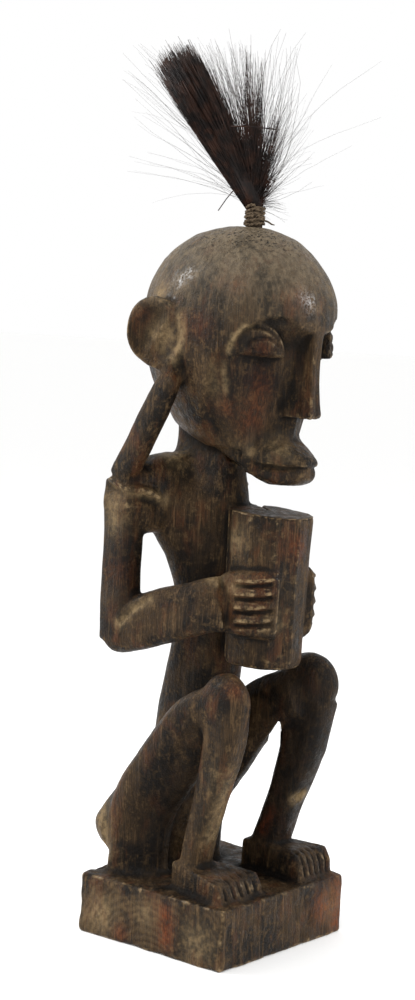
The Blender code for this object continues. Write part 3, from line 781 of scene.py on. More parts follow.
def carve_fingers(points, normals):
    """Four grooves between the fingers of each hand, a bead above each, and a step at the wrist."""
    first, last = HAND_TURNS
    for side in (RIGHT, LEFT):
        for finger in range(1, 5):
            z = HAND_BOTTOM + HAND_HEIGHT * finger / 5
            path = []
            for step in range(FINGER_STEPS + 1):
                share = step / FINGER_STEPS
                angle = math.radians(first + (last - first) * share)
                radius = HAND_RADIUS + HAND_SWELL * share
                level = z + 1.5 - 2.6 * math.sin(0.5 * math.pi * share)
                path.append((side * radius * math.sin(angle), CUP_Y - radius * math.cos(angle), level))
            groove(points, normals, path, 2.3, 2.1)
            groove(points, normals, shifted(path, 0, 3.2), 2, -0.8)
        groove(points, normals, mirrored(WRIST, side), 2.2, 0.5)


def carve_toes(points, normals):
    """Shallow grooves between the toes, down their front and over their tops."""
    for side, _, (front, inner, outer, top) in FEET:
        for toe in range(1, 6):
            x = side * (inner + (outer - inner) * toe / 6)
            path = [(x, front - 5, GROUND + 2), (x, front - 5, top - 8), (x, front + 5, top)]
            groove(points, normals, path, 2, 1.5)


def eye_arch(side, turn, level, wide, high, inset, angles):
    """Arch on the skull's surface, with its half width in degrees of turn and its height in drawn units."""
    places = [(turn + wide * math.cos(angle), level + high * math.sin(angle)) for angle in angles]
    return [tuple(flip(on_skull(*place_on_side, inset), side)) for place_on_side in places]


def carve_eyes(points, normals):
    """A rim line inside each eye's arch, a lid, and a thin ledge below it."""
    reach = EYE_RADIUS * RIM_SHARE
    rim_angles = [math.pi * (0.02 + 0.96 * step / 16) for step in range(17)]
    lid_angles = [math.pi * step / 8 for step in range(9)]
    for side in (RIGHT, LEFT):
        rim = eye_arch(side, EYE_TURN, EYE_LEVEL + 1, reach, reach, 0.8, rim_angles)
        lid = eye_arch(side, 41, 367.5, 10, 7, 0.4, lid_angles)
        groove(points, normals, rim, 2, 1.3)
        groove(points, normals, lid, 1.8, 1.1)
        groove(points, normals, [lid[0], lid[-1]], 1.6, 0.9)


MOUTH = [
    (-24, -29, 299), (-20.7, -36.5, 297.6), (-17, -43, 296.6),
    (-12.5, -50, 297), (-8, -55.5, 297.5), (0, -58.5, 297.5),
]


def carve_mouth(points, normals):
    """The line between the lips, with a raised edge near each corner."""
    for side in (RIGHT, LEFT):
        path = mirrored(MOUTH, side)
        groove(points, normals, path, 1.6, 0.9)
        groove(points, normals, shifted(path[:4], 0, 2.7), 1.8, -0.7)


# Splits in the cup's top and front: path, width and depth.
CUP_SPLITS = [
    ([(13, -12, 271.5), (8, -17, 270.5), (4.5, -22, 269.6), (-1, -29, 269)], 1.5, 2.4),
    ([(-8.5, -51.5, 184), (-9.5, -51.8, 190), (-11.5, -50.8, 196)], 1.4, 1.1),
]


def picture_axes(points):
    """How far each point lies across the picture and into it."""
    return points[:, :2] @ np.array(TUFT_RIGHT[:2]), points[:, :2] @ np.array(TUFT_DEEP[:2])


def carve_cup(points, normals):
    """Flat facets round the cup, a notch in its far rim, and the split that runs in from the notch."""
    level = points[:, 2]
    offset = points[:, :2] - (0, CUP_Y)
    radius = np.hypot(offset[:, 0], offset[:, 1])
    turn = np.arctan2(offset[:, 0], -offset[:, 1]) + FACET_TURN
    facet = 2 * math.pi / CUP_FACETS
    flat = np.cos(facet / 2) / np.cos(np.mod(turn, facet) - facet / 2)
    wall = (radius > 19) & (radius < 27.5) & (level > CUP_BOTTOM - 2) & (level < CUP_TOP + 2)
    wall &= (points[:, 1] < -12) & (np.abs(normals[:, 2]) < 0.5)
    shrink = 1 - (1 - flat[wall]) * 0.8
    points[wall, :2] = offset[wall] * shrink[:, None] + (0, CUP_Y)
    across, deep = picture_axes(points)
    from_notch = np.abs(deep - NOTCH_DEEP)
    floor = NOTCH_FLOOR + 1.5 * np.abs(across - NOTCH_ACROSS) + 0.25 * from_notch
    notched = (radius < 27.2) & (from_notch < 14) & (level > floor) & (level < CUP_TOP + 3)
    points[notched, 2] = floor[notched]
    for path, width, depth in CUP_SPLITS:
        groove(points, normals, path, width, depth)


COLLAR = [
    (-60, 54, 284.5), (-60, 45, 281.5), (-57.6, 36, 278),
    (-50, 31, 277.5), (-43, 29, 275.5), (-37, 26.5, 271),
]
ELBOW = [(-58.8, 38.5, 196.2), (-57.3, 34.3, 199.7), (-55.6, 28.1, 206), (-53.1, 18.6, 211.9)]
# Grooves and beads on both sides: path, width and depth.
SEAMS = [
    (COLLAR, 3, -1.8),
    (shifted(COLLAR, 0, -5.5), 5, 2),
    (shifted(COLLAR, 0, 6), 5, 1.2),
    ([(-50, 50, 43), (-28, 55, 43)], 12, 3),
    ([(-48, 55, 60), (-38, 58, 60)], 15, -1.6),
    (ELBOW, 2.2, 1.1),
    (shifted(ELBOW, 2.5, 3), 2.4, -0.7),
]


def carve_seams(points, normals):
    """Edges that the knife left at shoulders and elbows, the fuller seat, and chips out of the left shin."""
    for side in (RIGHT, LEFT):
        for path, width, depth in SEAMS:
            groove(points, normals, mirrored(path, side), width, depth)
    for path, width, depth in SHIN_CHIPS:
        groove(points, normals, path, width, depth)


def carve_arch(points):
    """Cut the arch behind the left knee up to a point, on a slant down towards the outside."""
    across, deep = picture_axes(points)
    deep -= ARCH_DEEP
    across -= ARCH_ACROSS + 0.04 * deep
    roof = ARCH_TOP - 0.2 * deep - np.maximum(-1.7 * across, 8 * across)
    inside = (points[:, 0] > 12) & (points[:, 2] > 120) & (points[:, 2] < roof)
    points[inside, 2] = roof[inside]


def carve_marks(points, normals):
    """Uneven surface left by the knife, the long fibres of the wood, and the base's battered edges."""
    shallow = 0.50 * field_noise(points, (14, 14, 19), 3)
    shallow += 0.25 * field_noise(points, (5.5, 5.5, 12), 4)
    shallow += 0.13 * field_noise(points, (2.4, 2.4, 16), 5)
    face = smooth_step(-points[:, 1], 12, 20) * smooth_step(points[:, 2], 300, 312)
    face *= 1 - smooth_step(points[:, 2], 358, 364)
    shallow += face * 0.45 * field_noise(points, (2.8, 2.8, 30), 6)
    low = 1 - smooth_step(points[:, 2], 36, 42)
    shallow += low * 0.45 * field_noise(points, (7, 7, 6), 8)
    points += normals * shallow[:, None]


def spread(values, links, counts, rounds):
    """Average each value with its neighbours' a number of times."""
    for _ in range(rounds):
        total = np.bincount(links[:, 0], values[links[:, 1]], len(values))
        total += np.bincount(links[:, 1], values[links[:, 0]], len(values))
        values = 0.5 * values + 0.5 * total / counts
    return values


def smoothed(points, links, counts, rounds):
    return np.stack([spread(points[:, axis], links, counts, rounds) for axis in range(3)], axis=1)


def mesh_links(mesh):
    """A mesh's edges as pairs of points, and how many edges meet at each point."""
    links = np.empty(len(mesh.edges) * 2, np.int32)
    mesh.edges.foreach_get("vertices", links)
    counts = np.maximum(np.bincount(links, minlength=len(mesh.vertices)), 1).astype(float)
    return links.reshape(-1, 2), counts


def rub(mesh, points):
    """Smooth the surface where limbs run into one another."""
    links, counts = mesh_links(mesh)
    soft = smoothed(points, links, counts, RUB_ROUNDS)
    share = np.zeros(len(points))
    for x, y, z, radius in RUBBED:
        for side in (RIGHT, LEFT):
            distance = np.linalg.norm(points - (side * x, y, z), axis=1)
            share = np.maximum(share, 1 - smooth_step(distance, radius * 0.45, radius))
    points += share[:, None] * (soft - points)


def add_wear(mesh):
    """Keep how far each point stands out from, or lies in, its surroundings, and the patches of patina, of
    painted highlight and shade, and of gloss.
    """
    points, normals = drawn_points(mesh), point_normals(mesh)
    links, counts = mesh_links(mesh)
    soft = points.copy()
    measures = {}
    for name, rounds in (("edge", 5), ("hollow", 60)):
        soft = smoothed(soft, links, counts, rounds)
        measures[name] = np.einsum("ij,ij->i", points - soft, normals)
    keep_values(mesh, "worn", np.clip(measures["edge"] / WORN_EDGE, 0, 1))
    # Creases and hollows are darkened: dirt, and painted shade where light does not reach them.
    creased = 0.8 * np.clip(-measures["edge"] / CREASE_DIRT_AND_SHADE, 0, 1)
    hollowed = np.clip(-measures["hollow"] / HOLLOW_DIRT_AND_SHADE, 0, 1)
    keep_values(mesh, "sunk_dirt_and_shade", np.maximum(creased, hollowed))
    for name, patches in PATCHES.items():
        strength = np.zeros(len(points))
        for radius, most, *path in patches:
            distance, _ = path_distance(points, path + path[-1:])
            strength = np.maximum(strength, most * np.exp(-(distance / radius) ** 2))
        # The cut back halves of the face get painted shade too.
        if name == "dark":
            strength = np.maximum(strength, 0.42 * face_share(points))
        keep_values(mesh, name, strength)


def face_share(points):
    """One on the cut back halves of the face, and nought elsewhere."""
    half = points * (-1, 1, 1)
    half[:, 0] = -np.abs(half[:, 0])
    offset = half - np.array(CHEEK_NOSE) * (1, 1, 0)
    depth = outline_depth(offset @ np.array(CHEEK_ALONG), points[:, 2], rounded_outline(CHEEK_OUTLINE))
    beside_nose = smooth_step(np.abs(points[:, 0]), 6.5, 9.5)
    in_front, above_lips = points[:, 1] < 0, smooth_step(points[:, 2], 308, 318)
    return smooth_step(depth, 1, 4) * beside_nose * in_front * above_lips


def keep_values(mesh, name, values):
    kept = mesh.attributes.new(name, "FLOAT", "POINT")
    kept.data.foreach_set("value", values.astype(np.float32))


def make_object(name, bm, finish=None):
    mesh = bpy.data.meshes.new(name)
    bm.to_mesh(mesh)
    bm.free()
    thing = bpy.data.objects.new(name, mesh)
    bpy.context.scene.collection.objects.link(thing)
    if finish is not None:
        mesh.materials.append(finish)
    return thing


def baked(thing):
    """The mesh that a thing's modifiers give; the thing itself is removed."""
    bpy.context.view_layer.update()
    graph = bpy.context.evaluated_depsgraph_get()
    mesh = bpy.data.meshes.new_from_object(thing.evaluated_get(graph))
    bpy.data.objects.remove(thing, do_unlink=True)
    return mesh


def fused(name, bm, rounds):
    """Overlapping closed forms fused into one skin, with its inner corners eased."""
    thing = make_object(name, bm)
    step = thing.modifiers.new("fuse", "REMESH")
    step.mode = "VOXEL"
    step.voxel_size = VOXEL
    ease = thing.modifiers.new("ease", "SMOOTH")
    ease.factor = 0.5
    ease.iterations = rounds
    return baked(thing)


def body_forms():
    bm = bmesh.new()
    for add in (add_base, add_skull, add_torso, add_shoulders):
        add(bm)
    for side in (RIGHT, LEFT):
        for add in (add_arm, add_hand, add_ear):
            add(bm, side)
    add_cup(bm)
    add_leg(bm, RIGHT, (0, 0, 0), RIGHT_SHIN)
    add_leg(bm, LEFT, (-10, 6.5, 3), LEFT_SHIN)
    for side, heel, toe in FEET:
        add_foot(bm, side, heel, toe)
    return bm


def face_forms():
    bm = bmesh.new()
    add_jaw(bm)
    add_nose(bm)
    for side in (RIGHT, LEFT):
        add_eye(bm, side)
    return bm


def seat_height():
    """Height of the small flat on the crown that the tuft's winding rests on."""
    return BASE_HEIGHT + (CROWN - 1 - GROUND) * UNIT


def binding_top():
    return seat_height() + CLEARANCE + TWINE_DIAMETER * TWINE_WRAPS


def flatten_ends(points):
    """Keep the underside flat, and a small flat on the crown for the tuft's winding."""
    points[:, 2] = np.maximum(points[:, 2], GROUND - BASE_HEIGHT / UNIT)
    seat = (STEM_RADIUS + TWINE_DIAMETER) / UNIT + 1
    near = np.hypot(points[:, 0], points[:, 1] - TUFT_Y) < seat
    high = near & (points[:, 2] > CROWN - 6)
    points[high, 2] = np.minimum(points[high, 2], CROWN - 1)


def make_figure(finish):
    forms = body_forms()
    for side in (RIGHT, LEFT):
        add_arm_corners(forms, side)
    body = fused("body", forms, 8)
    points = drawn_points(body)
    carve_cheeks(points)
    carve_ears(points)
    keep_points(body, points)
    bm = face_forms()
    bm.from_mesh(body)
    bpy.data.meshes.remove(body)
    mesh = fused("skin", bm, 3)
    points = drawn_points(mesh)
    rub(mesh, points)
    carve_arch(points)
    keep_points(mesh, points)
    normals = point_normals(mesh)
    carve_marks(points, normals)
    for carve in (carve_fingers, carve_toes, carve_eyes, carve_mouth, carve_cup, carve_seams):
        carve(points, normals)
    flatten_ends(points)
    keep_points(mesh, points)
    rough = bpy.data.objects.new("carved_figure_rough", mesh)
    bpy.context.scene.collection.objects.link(rough)
    fewer = rough.modifiers.new("fewer faces", "DECIMATE")
    fewer.ratio = min(1, FIGURE_TRIANGLES / (2 * len(mesh.polygons)))
    mesh = baked(rough)
    mesh.name = "carved_figure"
    mesh.materials.clear()
    mesh.materials.append(finish)
    mesh.shade_smooth()
    add_wear(mesh)
    figure = bpy.data.objects.new("carved_figure", mesh)
    bpy.context.scene.collection.objects.link(figure)
    return figure


def add_node(tree, kind, **options):
    """New shader node with its options set by name."""
    node = tree.nodes.new("ShaderNode" + kind)
    for key, value in options.items():
        setattr(node, key, value)
    return node


def feed(tree, node, **values):
    """Set or link inputs by name, with underscores for spaces, or by position as i0, i1 and so on."""
    for key, value in values.items():
        by_position = key[0] == "i" and key[1:].isdigit()
        socket = node.inputs[int(key[1:]) if by_position else key.replace("_", " ")]
        if isinstance(value, bpy.types.NodeSocket):
            tree.links.new(value, socket)
        else:
            socket.default_value = value


def noise(tree, where, scale, detail=3, roughness=0.55, stretch=(1, 1, 1)):
    """Noise from 0 to 1 at a place that is stretched by a factor for each axis."""
    mapping = add_node(tree, "Mapping")
    feed(tree, mapping, Vector=where, Scale=stretch)
    texture = add_node(tree, "TexNoise")
    feed(tree, texture, Vector=mapping.outputs["Vector"], Scale=scale, Detail=detail, Roughness=roughness)
    return texture.outputs["Fac"]


def spread_range(tree, value, low, high, to_low=0, to_high=1):
    node = add_node(tree, "MapRange", interpolation_type="SMOOTHSTEP")
    feed(tree, node, Value=value, From_Min=low, From_Max=high, To_Min=to_low, To_Max=to_high)
    return node.outputs["Result"]


def work(tree, operation, first, second=0.5):
    node = add_node(tree, "Math", operation=operation)
    feed(tree, node, i0=first, i1=second)
    return node.outputs[0]


def blend(tree, share, first, second):
    """Mix two colours, each a colour or a socket."""
    node = add_node(tree, "Mix", data_type="RGBA")
    feed(tree, node, i0=share, i6=first, i7=second)
    return node.outputs[2]


def measure(tree, name):
    return add_node(tree, "Attribute", attribute_name=name).outputs["Fac"]


def colour(red, green, blue):
    """Colour from its display values, 0 to 255."""
    linear = []
    for value in (red, green, blue):
        share = value / 255
        linear.append(share / 12.92 if share <= 0.04045 else ((share + 0.055) / 1.055) ** 2.4)
    return (*linear, 1)


def add_bump(tree, shader, relief, strength, distance):
    bump = add_node(tree, "Bump")
    feed(tree, bump, Height=relief, Strength=strength, Distance=distance)
    feed(tree, shader, Normal=bump.outputs["Normal"])


def new_finish(name):
    finish = bpy.data.materials.new(name)
    finish.use_nodes = True
    return finish, finish.node_tree, finish.node_tree.nodes["Principled BSDF"]


def wood_finish():
    """Dark wood: long fibres, worn tan edges, tan patches of wear and painted highlight, reddish bare
    patches, dirt and painted shade in the hollows, patches of painted shade, dust and painted sheen on the
    head.
    """
    finish, tree, shader = new_finish("carved wood")
    where = add_node(tree, "TexCoord").outputs["Object"]

    def grain(scale, detail, roughness=0.55, along=1):
        return noise(tree, where, scale, detail, roughness, (1, 1, along))

    def ranged(value, low, high, to_low=0, to_high=1):
        return spread_range(tree, value, low, high, to_low, to_high)

    def times(first, second):
        return work(tree, "MULTIPLY", first, second)

    split = add_node(tree, "SeparateXYZ")
    feed(tree, split, Vector=where)
    height = split.outputs["Z"]
    worn, sunk_dirt_and_shade, tan, red, dark = (measure(tree, name) for name in ("worn", "sunk_dirt_and_shade", "tan", "red", "dark"))
    clouds = grain(42, 4, 0.6)
    patches = grain(85, 4, 0.6, 0.4)
    streaks = grain(380, 4, 0.6, 0.07)
    fibres = grain(1500, 3, 0.6, 0.05)
    specks = grain(620, 4, 0.65)
    spots = grain(230, 5, 0.7)
    broken = ranged(spots, 0.36, 0.60, 0.3, 1)
    mixed = times(work(tree, "ADD", spots, streaks), 0.5)
    # Lighter grey over the top of the head: dust, and painted sheen.
    dust_and_sheen = times(ranged(height, 0.365, 0.445), ranged(mixed, 0.40, 0.60, 0.45, 0.95))
    dust_and_sheen = times(dust_and_sheen, ranged(clouds, 0.36, 0.56, 0.6, 1))
    edge = times(ranged(worn, 0.3, 1), ranged(spots, 0.42, 0.60, 0, 0.8))
    pits = times(ranged(grain(900, 2), 0.27, 0.33, 1, 0), ranged(spots, 0.45, 0.6))
    holes = times(ranged(grain(420, 3), 0.37, 0.41, 1, 0), ranged(height, 0.418, 0.434))
    pits = work(tree, "MAXIMUM", pits, holes)
    rings = growth_rings(tree, where)
    tone = blend(tree, ranged(clouds, 0.42, 0.60), colour(20, 14, 8), colour(57, 42, 25))
    layers = [
        (ranged(patches, 0.50, 0.66, 0, 0.6), (80, 47, 24)),
        (ranged(streaks, 0.50, 0.72, 0, 0.42), (112, 87, 58)),
        (ranged(spots, 0.50, 0.66, 0, 0.5), (104, 83, 57)),
        (times(red, broken), (112, 54, 24)),
        (ranged(fibres, 0.36, 0.58, 0.6, 0), (12, 9, 6)),
        # dust and painted sheen on the top of the head
        (dust_and_sheen, (114, 102, 84)),
        (edge, (143, 119, 84)),
        # painted shade from the dark patches and the cut back face halves
        (times(dark, 0.9), (12, 8, 6)),
        # creases and hollows: dirt and painted shade
        (ranged(sunk_dirt_and_shade, 0.03, 0.7, 0, 0.88), (10, 7, 5)),
        # tan wear and bare wood, with painted highlights
        (times(tan, broken), (143, 121, 88)),
        (times(pits, 0.85), (12, 9, 7)),
        (times(rings, ranged(clouds, 0.40, 0.62, 0, 0.13)), (128, 106, 76)),
    ]
    for share, tint in layers:
        tone = blend(tree, share, tone, colour(*tint))
    feed(tree, shader, Base_Color=tone, Metallic=0, Specular_IOR_Level=0.12)
    matt = work(tree, "ADD", ranged(spots, 0.35, 0.65, 0.30, 0.62), times(sunk_dirt_and_shade, 0.3))
    relief = times(fibres, 0.5)
    for operation, source, share in (("ADD", streaks, 0.6), ("ADD", specks, 1.1),
                                     ("SUBTRACT", pits, 0.8), ("ADD", rings, 0.35)):
        relief = work(tree, operation, relief, times(source, share))
    add_bump(tree, shader, relief, 0.95, 0.0009)
    shine = times(measure(tree, "gloss"), ranged(specks, 0.40, 0.62, 0, 0.5))
    shine = work(tree, "MAXIMUM", shine, times(edge, 0.3))
    feed(tree, shader, Roughness=matt, Coat_Weight=shine, Coat_Roughness=0.27)
    return finish


def growth_rings(tree, where):
    """Arcs of end grain on the base's right side, as ridges round a point low on that side."""
    shift = add_node(tree, "Mapping")
    feed(tree, shift, Vector=where, Location=(0, -0.002, 0.012), Scale=(0, 1, 1))
    bent = add_node(tree, "TexNoise")
    feed(tree, bent, Vector=where, Scale=60, Detail=2)
    moved = add_node(tree, "VectorMath", operation="MULTIPLY_ADD")
    feed(tree, moved, i0=bent.outputs["Color"], i1=(0, 0.006, 0.006), i2=shift.outputs["Vector"])
    wave = add_node(tree, "TexWave", wave_type="RINGS", rings_direction="X", wave_profile="SIN")
    feed(tree, wave, Vector=moved.outputs[0], Scale=75, Distortion=2.5, Detail=3)
    split = add_node(tree, "SeparateXYZ")
    feed(tree, split, Vector=where)
    low = spread_range(tree, split.outputs["Z"], 0.034, 0.038, 1, 0)
    right = spread_range(tree, split.outputs["X"], -0.0575, -0.060, 0, 1)
    return work(tree, "MULTIPLY", work(tree, "MULTIPLY", low, right), wave.outputs["Fac"])


def twine_finish():
    finish, tree, shader = new_finish("twine")
    where = add_node(tree, "TexCoord").outputs["Object"]
    dirt = spread_range(tree, noise(tree, where, 260), 0.48, 0.62, 0, 0.75)
    tone = blend(tree, noise(tree, where, 900), colour(62, 51, 40), colour(118, 102, 82))
    tone = blend(tree, dirt, tone, colour(38, 29, 22))
    feed(tree, shader, Base_Color=tone, Roughness=0.92, Specular_IOR_Level=0.15)
    add_bump(tree, shader, noise(tree, where, 3000), 0.6, 0.0003)
    return finish


def fibre_finish():
    finish, tree, shader = new_finish("dark fibre")
    where = add_node(tree, "TexCoord").outputs["Object"]
    share = spread_range(tree, noise(tree, where, 140), 0.4, 0.65)
    tone = blend(tree, share, colour(20, 13, 11), colour(52, 31, 21))
    feed(tree, shader, Base_Color=tone, Roughness=0.55, Specular_IOR_Level=0.2)
    return finish


def tube(bm, path, radii, sides):
    """Closed tube round a path of points with a radius at each."""
    rings = []
    count = len(path)
    for index, point in enumerate(path):
        tangent = (path[min(index + 1, count - 1)] - path[max(index - 1, 0)]).normalized()
        first = tangent.cross(Vector((0.31, 0.95, 0.05))).normalized()
        second = tangent.cross(first)
        ring = []
        for side in range(sides):
            angle = 2 * math.pi * side / sides
            out = first * math.cos(angle) + second * math.sin(angle)
            ring.append(bm.verts.new(point + out * radii[index]))
        rings.append(ring)
    for low, high in zip(rings, rings[1:]):
        for side in range(sides):
            after = (side + 1) % sides
            bm.faces.new((low[side], low[after], high[after], high[side]))
    bm.faces.new(rings[0][::-1])
    bm.faces.new(rings[-1])


def make_binding(finish):
    """Two-ply twine wound up round the foot of the tuft, with a loose end."""
    bm = bmesh.new()
    foot = seat_height() + CLEARANCE
    axis = Vector((0, TUFT_Y * UNIT, 0))
    thick = TWINE_DIAMETER
    turns = TWINE_WRAPS - 0.5
    steps = int(turns * 30)
    ply_turns = turns * 2 * math.pi * STEM_RADIUS / (thick * 1.6)
    rand = np.random.default_rng(12)
    sway = rand.uniform(-1, 1, 64)
    for ply in (0, math.pi):
        path = []
        for step in range(steps + 1):
            share = step / steps
            angle = 2 * math.pi * turns * share + 0.6
            wander = 0.20 * thick * math.sin(3.1 * angle + 0.7) + 0.22 * thick * math.sin(1.3 * angle)
            twist = 2 * math.pi * ply_turns * share + ply
            radius = STEM_RADIUS + 0.48 * thick + 0.24 * thick * math.cos(twist)
            radius += thick * (0.25 * (1 - share) + 0.12 * np.interp(share * 20, range(64), sway))
            z = foot + thick * (0.45 + turns * share) + wander + 0.24 * thick * math.sin(twist)
            path.append(axis + Vector((math.cos(angle) * radius, math.sin(angle) * radius, z)))
        tube(bm, path, [thick * 0.30] * len(path), 8)
    core = [axis + Vector((0, 0, foot + share * (binding_top() - foot))) for share in (0, 0.5, 1)]
    tube(bm, core, [STEM_RADIUS + 0.0006] * 3, 24)
    loose = [
        (0.0052, -0.0035, 0.0045), (0.0068, -0.0050, 0.0040),
        (0.0085, -0.0066, 0.0026), (0.0098, -0.0080, 0.0022),
    ]
    tube(bm, [axis + Vector((x, y, foot + z)) for x, y, z in loose], [0.0006, 0.0006, 0.0005, 0.0003], 8)
    binding = make_object("twine_winding", bm, finish)
    binding.data.shade_smooth()
    return binding


def tuft_place(right, up, deep):
    """Place above the binding's top, in tuft lengths along the picture's right, up and depth."""
    way = TUFT_RIGHT * right + UP * up + TUFT_DEEP * deep
    return Vector((0, TUFT_Y * UNIT, binding_top())) + way * TUFT_LENGTH


def curve_point(start, middle, end, share):
    """Point on the curve from start to end that bends towards the middle."""
    return start * (1 - share) ** 2 + middle * 2 * share * (1 - share) + end * share ** 2


def tapered(radius, loss, parts):
    """Radii from a fibre's foot to its tip, where it has lost a share of its radius."""
    return [radius * (1 - loss * part / (parts - 1)) for part in range(parts)]


def hair(bm, start, tip, radius, bend, rand, parts=8):
    """One tapering fibre that leaves the binding upright, bends towards its tip and has small kinks."""
    span = (tip - start).length
    control = start.lerp(tip, 0.35) + UP * (0.22 * span * rand.uniform(0, 1))
    control += Vector(rand.normal(0, bend * span, 3))
    path = []
    for part in range(parts):
        share = part / (parts - 1)
        point = curve_point(start, control, tip, share)
        path.append(point + Vector(rand.normal(0, 0.006 * span * min(1, 3 * share), 3)))
    tube(bm, path, tapered(radius, 0.7, parts), 3)


def make_bundle(finish):
    """Dense part of the tuft: a swelling core, and fibres that lie over it and end raggedly beyond it."""
    rand = np.random.default_rng(7)
    bm = bmesh.new()
    foot = Vector((0, TUFT_Y * UNIT, binding_top() - 0.001))
    lean = Vector((-0.13, 0.56, 0.82)).normalized()
    side_way = lean.cross(UP).normalized()
    up_way = side_way.cross(lean)
    lift = Vector((0, -0.0022, 0.0026))
    spine = [foot, foot + lean * 0.012 + lift * 1.2]
    spine += [foot + lean * reach + lift for reach in (0.030, 0.052, 0.072, 0.086)]
    tube(bm, spine, [0.0048, 0.0074, 0.0086, 0.0096, 0.0100, 0.0088], 20)
    for _ in range(BUNDLE_FIBRES):
        angle = rand.uniform(0, 2 * math.pi)
        out = math.sqrt(rand.uniform(0.04, 1))
        first = side_way * math.cos(angle) + up_way * math.sin(angle)
        start = foot + first * (FOOT_SPREAD * out)
        reach = TUFT_LENGTH * (0.98 - 0.22 * rand.uniform(0, 1) ** 1.4 + rand.normal(0, 0.02))
        end = foot + lean * reach + lift + first * (END_SPREAD * out * rand.uniform(0.85, 1.18))
        middle = start.lerp(end, 0.36) + first * (FOOT_SPREAD * out) + lift * 0.5
        fray = Vector(rand.normal(0, 0.0019, 3))
        path = []
        for part in range(FIBRE_PARTS):
            share = part / (FIBRE_PARTS - 1)
            point = curve_point(start, middle, end, share)
            path.append(point + fray * share ** 3 + Vector(rand.normal(0, 0.00022, 3)))
        radius = rand.uniform(0.00014, 0.00032)
        tube(bm, path, tapered(radius, 0.6, FIBRE_PARTS), 3)
    bundle = make_object("fibre_bundle", bm, finish)
    bundle.data.shade_smooth()
    return bundle


def make_strays(finish):
    """Looser fibres, by where their tips lie: number, right, up and depth ranges, radius and bend."""
    rand = np.random.default_rng(21)
    bm = bmesh.new()
    groups = [
        (230, (-0.36, -0.07), (0.60, 0.88), (-0.20, 0.24), 0.00016, 0.05),
        (240, (-0.24, 0.00), (0.22, 0.52), (-0.12, 0.16), 0.00018, 0.05),
        (150, (-0.11, 0.02), (0.45, 0.84), (-0.10, 0.10), 0.00020, 0.03),
        (210, (-0.04, 0.13), (0.18, 0.50), (-0.12, 0.12), 0.00020, 0.05),
        (60, (0.03, 0.20), (0.40, 0.92), (-0.20, 0.20), 0.00016, 0.10),
        (70, (0.10, 0.30), (0.16, 0.62), (-0.22, 0.22), 0.00011, 0.10),
        (44, (-0.78, -0.50), (0.66, 0.88), (0.05, 0.40), 0.00012, 0.05),
        (30, (-0.72, -0.30), (0.14, 0.62), (-0.10, 0.30), 0.00010, 0.08),
        (110, (0.04, 0.17), (-0.02, 0.20), (-0.12, 0.12), 0.00014, 0.10),
        (16, (0.02, 0.20), (-0.12, 0.02), (-0.08, 0.08), 0.00014, 0.10),
    ]
    for number, rights, ups, deeps, radius, bend in groups:
        for _ in range(number):
            start = tuft_place(rand.normal(0, 0.014), rand.uniform(-0.01, 0.03), rand.normal(0, 0.014))
            tip = tuft_place(rand.uniform(*rights), rand.uniform(*ups), rand.uniform(*deeps))
            hair(bm, start, tip, radius * rand.uniform(0.7, 1.25), bend, rand)
    for right, up, deep, radius in LONG_FIBRES:
        hair(bm, tuft_place(0.01, 0.02, 0), tuft_place(right, up, deep), radius, 0.09, rand, 10)
    for ends, radius in STICKS:
        start, end = (tuft_place(*place_of_end) for place_of_end in ends)
        tube(bm, [start, start.lerp(end, 0.5) + UP * 0.0006, end], [radius] * 3, 6)
    strays = make_object("stray_fibres", bm, finish)
    strays.data.shade_smooth()
    return strays


def way_towards(turn, rise):
    """Direction that is turned from -Y towards +X and then raised."""
    return Vector((math.sin(turn) * math.cos(rise), -math.cos(turn) * math.cos(rise), math.sin(rise)))


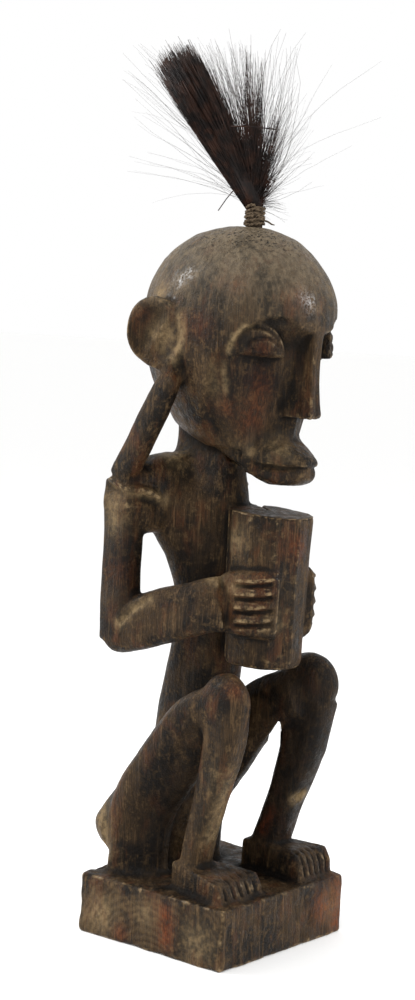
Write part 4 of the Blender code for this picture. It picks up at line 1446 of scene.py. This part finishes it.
def make_camera():
    """Camera at the photograph's viewing angle."""
    back = way_towards(CAMERA_TURN, CAMERA_RISE)
    right = UP.cross(back).normalized()
    up = back.cross(right)
    rolled_right = right * math.cos(CAMERA_ROLL) + up * math.sin(CAMERA_ROLL)
    rolled_up = up * math.cos(CAMERA_ROLL) - right * math.sin(CAMERA_ROLL)
    facing = Matrix((rolled_right, rolled_up, back)).transposed().to_4x4()
    data = bpy.data.cameras.new("camera")
    data.lens = CAMERA_LENS
    data.sensor_width = 36
    data.sensor_fit = "AUTO"
    data.clip_start = 0.01
    camera = bpy.data.objects.new("camera", data)
    camera.matrix_world = Matrix.Translation(CAMERA_PLACE) @ facing
    bpy.context.scene.collection.objects.link(camera)
    bpy.context.scene.camera = camera


def add_light(name, turn, rise, distance, size, power):
    """Square soft light that faces the figure's middle; its turn and rise are in degrees."""
    data = bpy.data.lights.new(name, "AREA")
    data.size = size
    data.energy = power
    light = bpy.data.objects.new(name, data)
    way = way_towards(math.radians(turn), math.radians(rise))
    light.location = Vector((0, 0, 0.25)) + way * distance
    light.rotation_euler = way.to_track_quat("Z", "Y").to_euler()
    bpy.context.scene.collection.objects.link(light)


def make_studio():
    """Pale floor, pale surroundings and soft lights from both sides of the camera."""
    bm = bmesh.new()
    signs = ((-1, -1), (1, -1), (1, 1), (-1, 1))
    bm.faces.new([bm.verts.new((x * FLOOR_REACH, y * FLOOR_REACH, FLOOR_Z)) for x, y in signs])
    finish, tree, shader = new_finish("floor")
    feed(tree, shader, Base_Color=(0.99, 0.99, 0.985, 1), Roughness=0.9, Specular_IOR_Level=0.1)
    floor = make_object("floor", bm, finish)
    world = bpy.data.worlds.new("studio")
    world.use_nodes = True
    background = world.node_tree.nodes["Background"]
    background.inputs["Color"].default_value = (1, 1, 1, 1)
    background.inputs["Strength"].default_value = 1
    bpy.context.scene.world = world
    bpy.context.scene.view_settings.view_transform = "Standard"
    add_light("left window", -143, 34, 1.3, 0.24, 14)
    add_light("right window", 23, 24, 1.4, 0.22, 9)
    add_light("above camera", -66, 50, 1.6, 0.7, 3)


def main():
    make_camera()
    make_studio()
    wood, twine, fibre = wood_finish(), twine_finish(), fibre_finish()
    pieces = [
        (make_figure(wood), ("figure",), "carved_wood"),
        (make_binding(twine), ("tuft_binding",), "twine"),
        (make_bundle(fibre), ("tuft_fibres",), "dark_fibre"),
        (make_strays(fibre), (), "dark_fibre"),
    ]
    for piece, nodes, slot in pieces:
        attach(piece, "root")
        for node in nodes:
            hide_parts(node)
        print(piece.name, len(piece.data.polygons), "faces")


main()
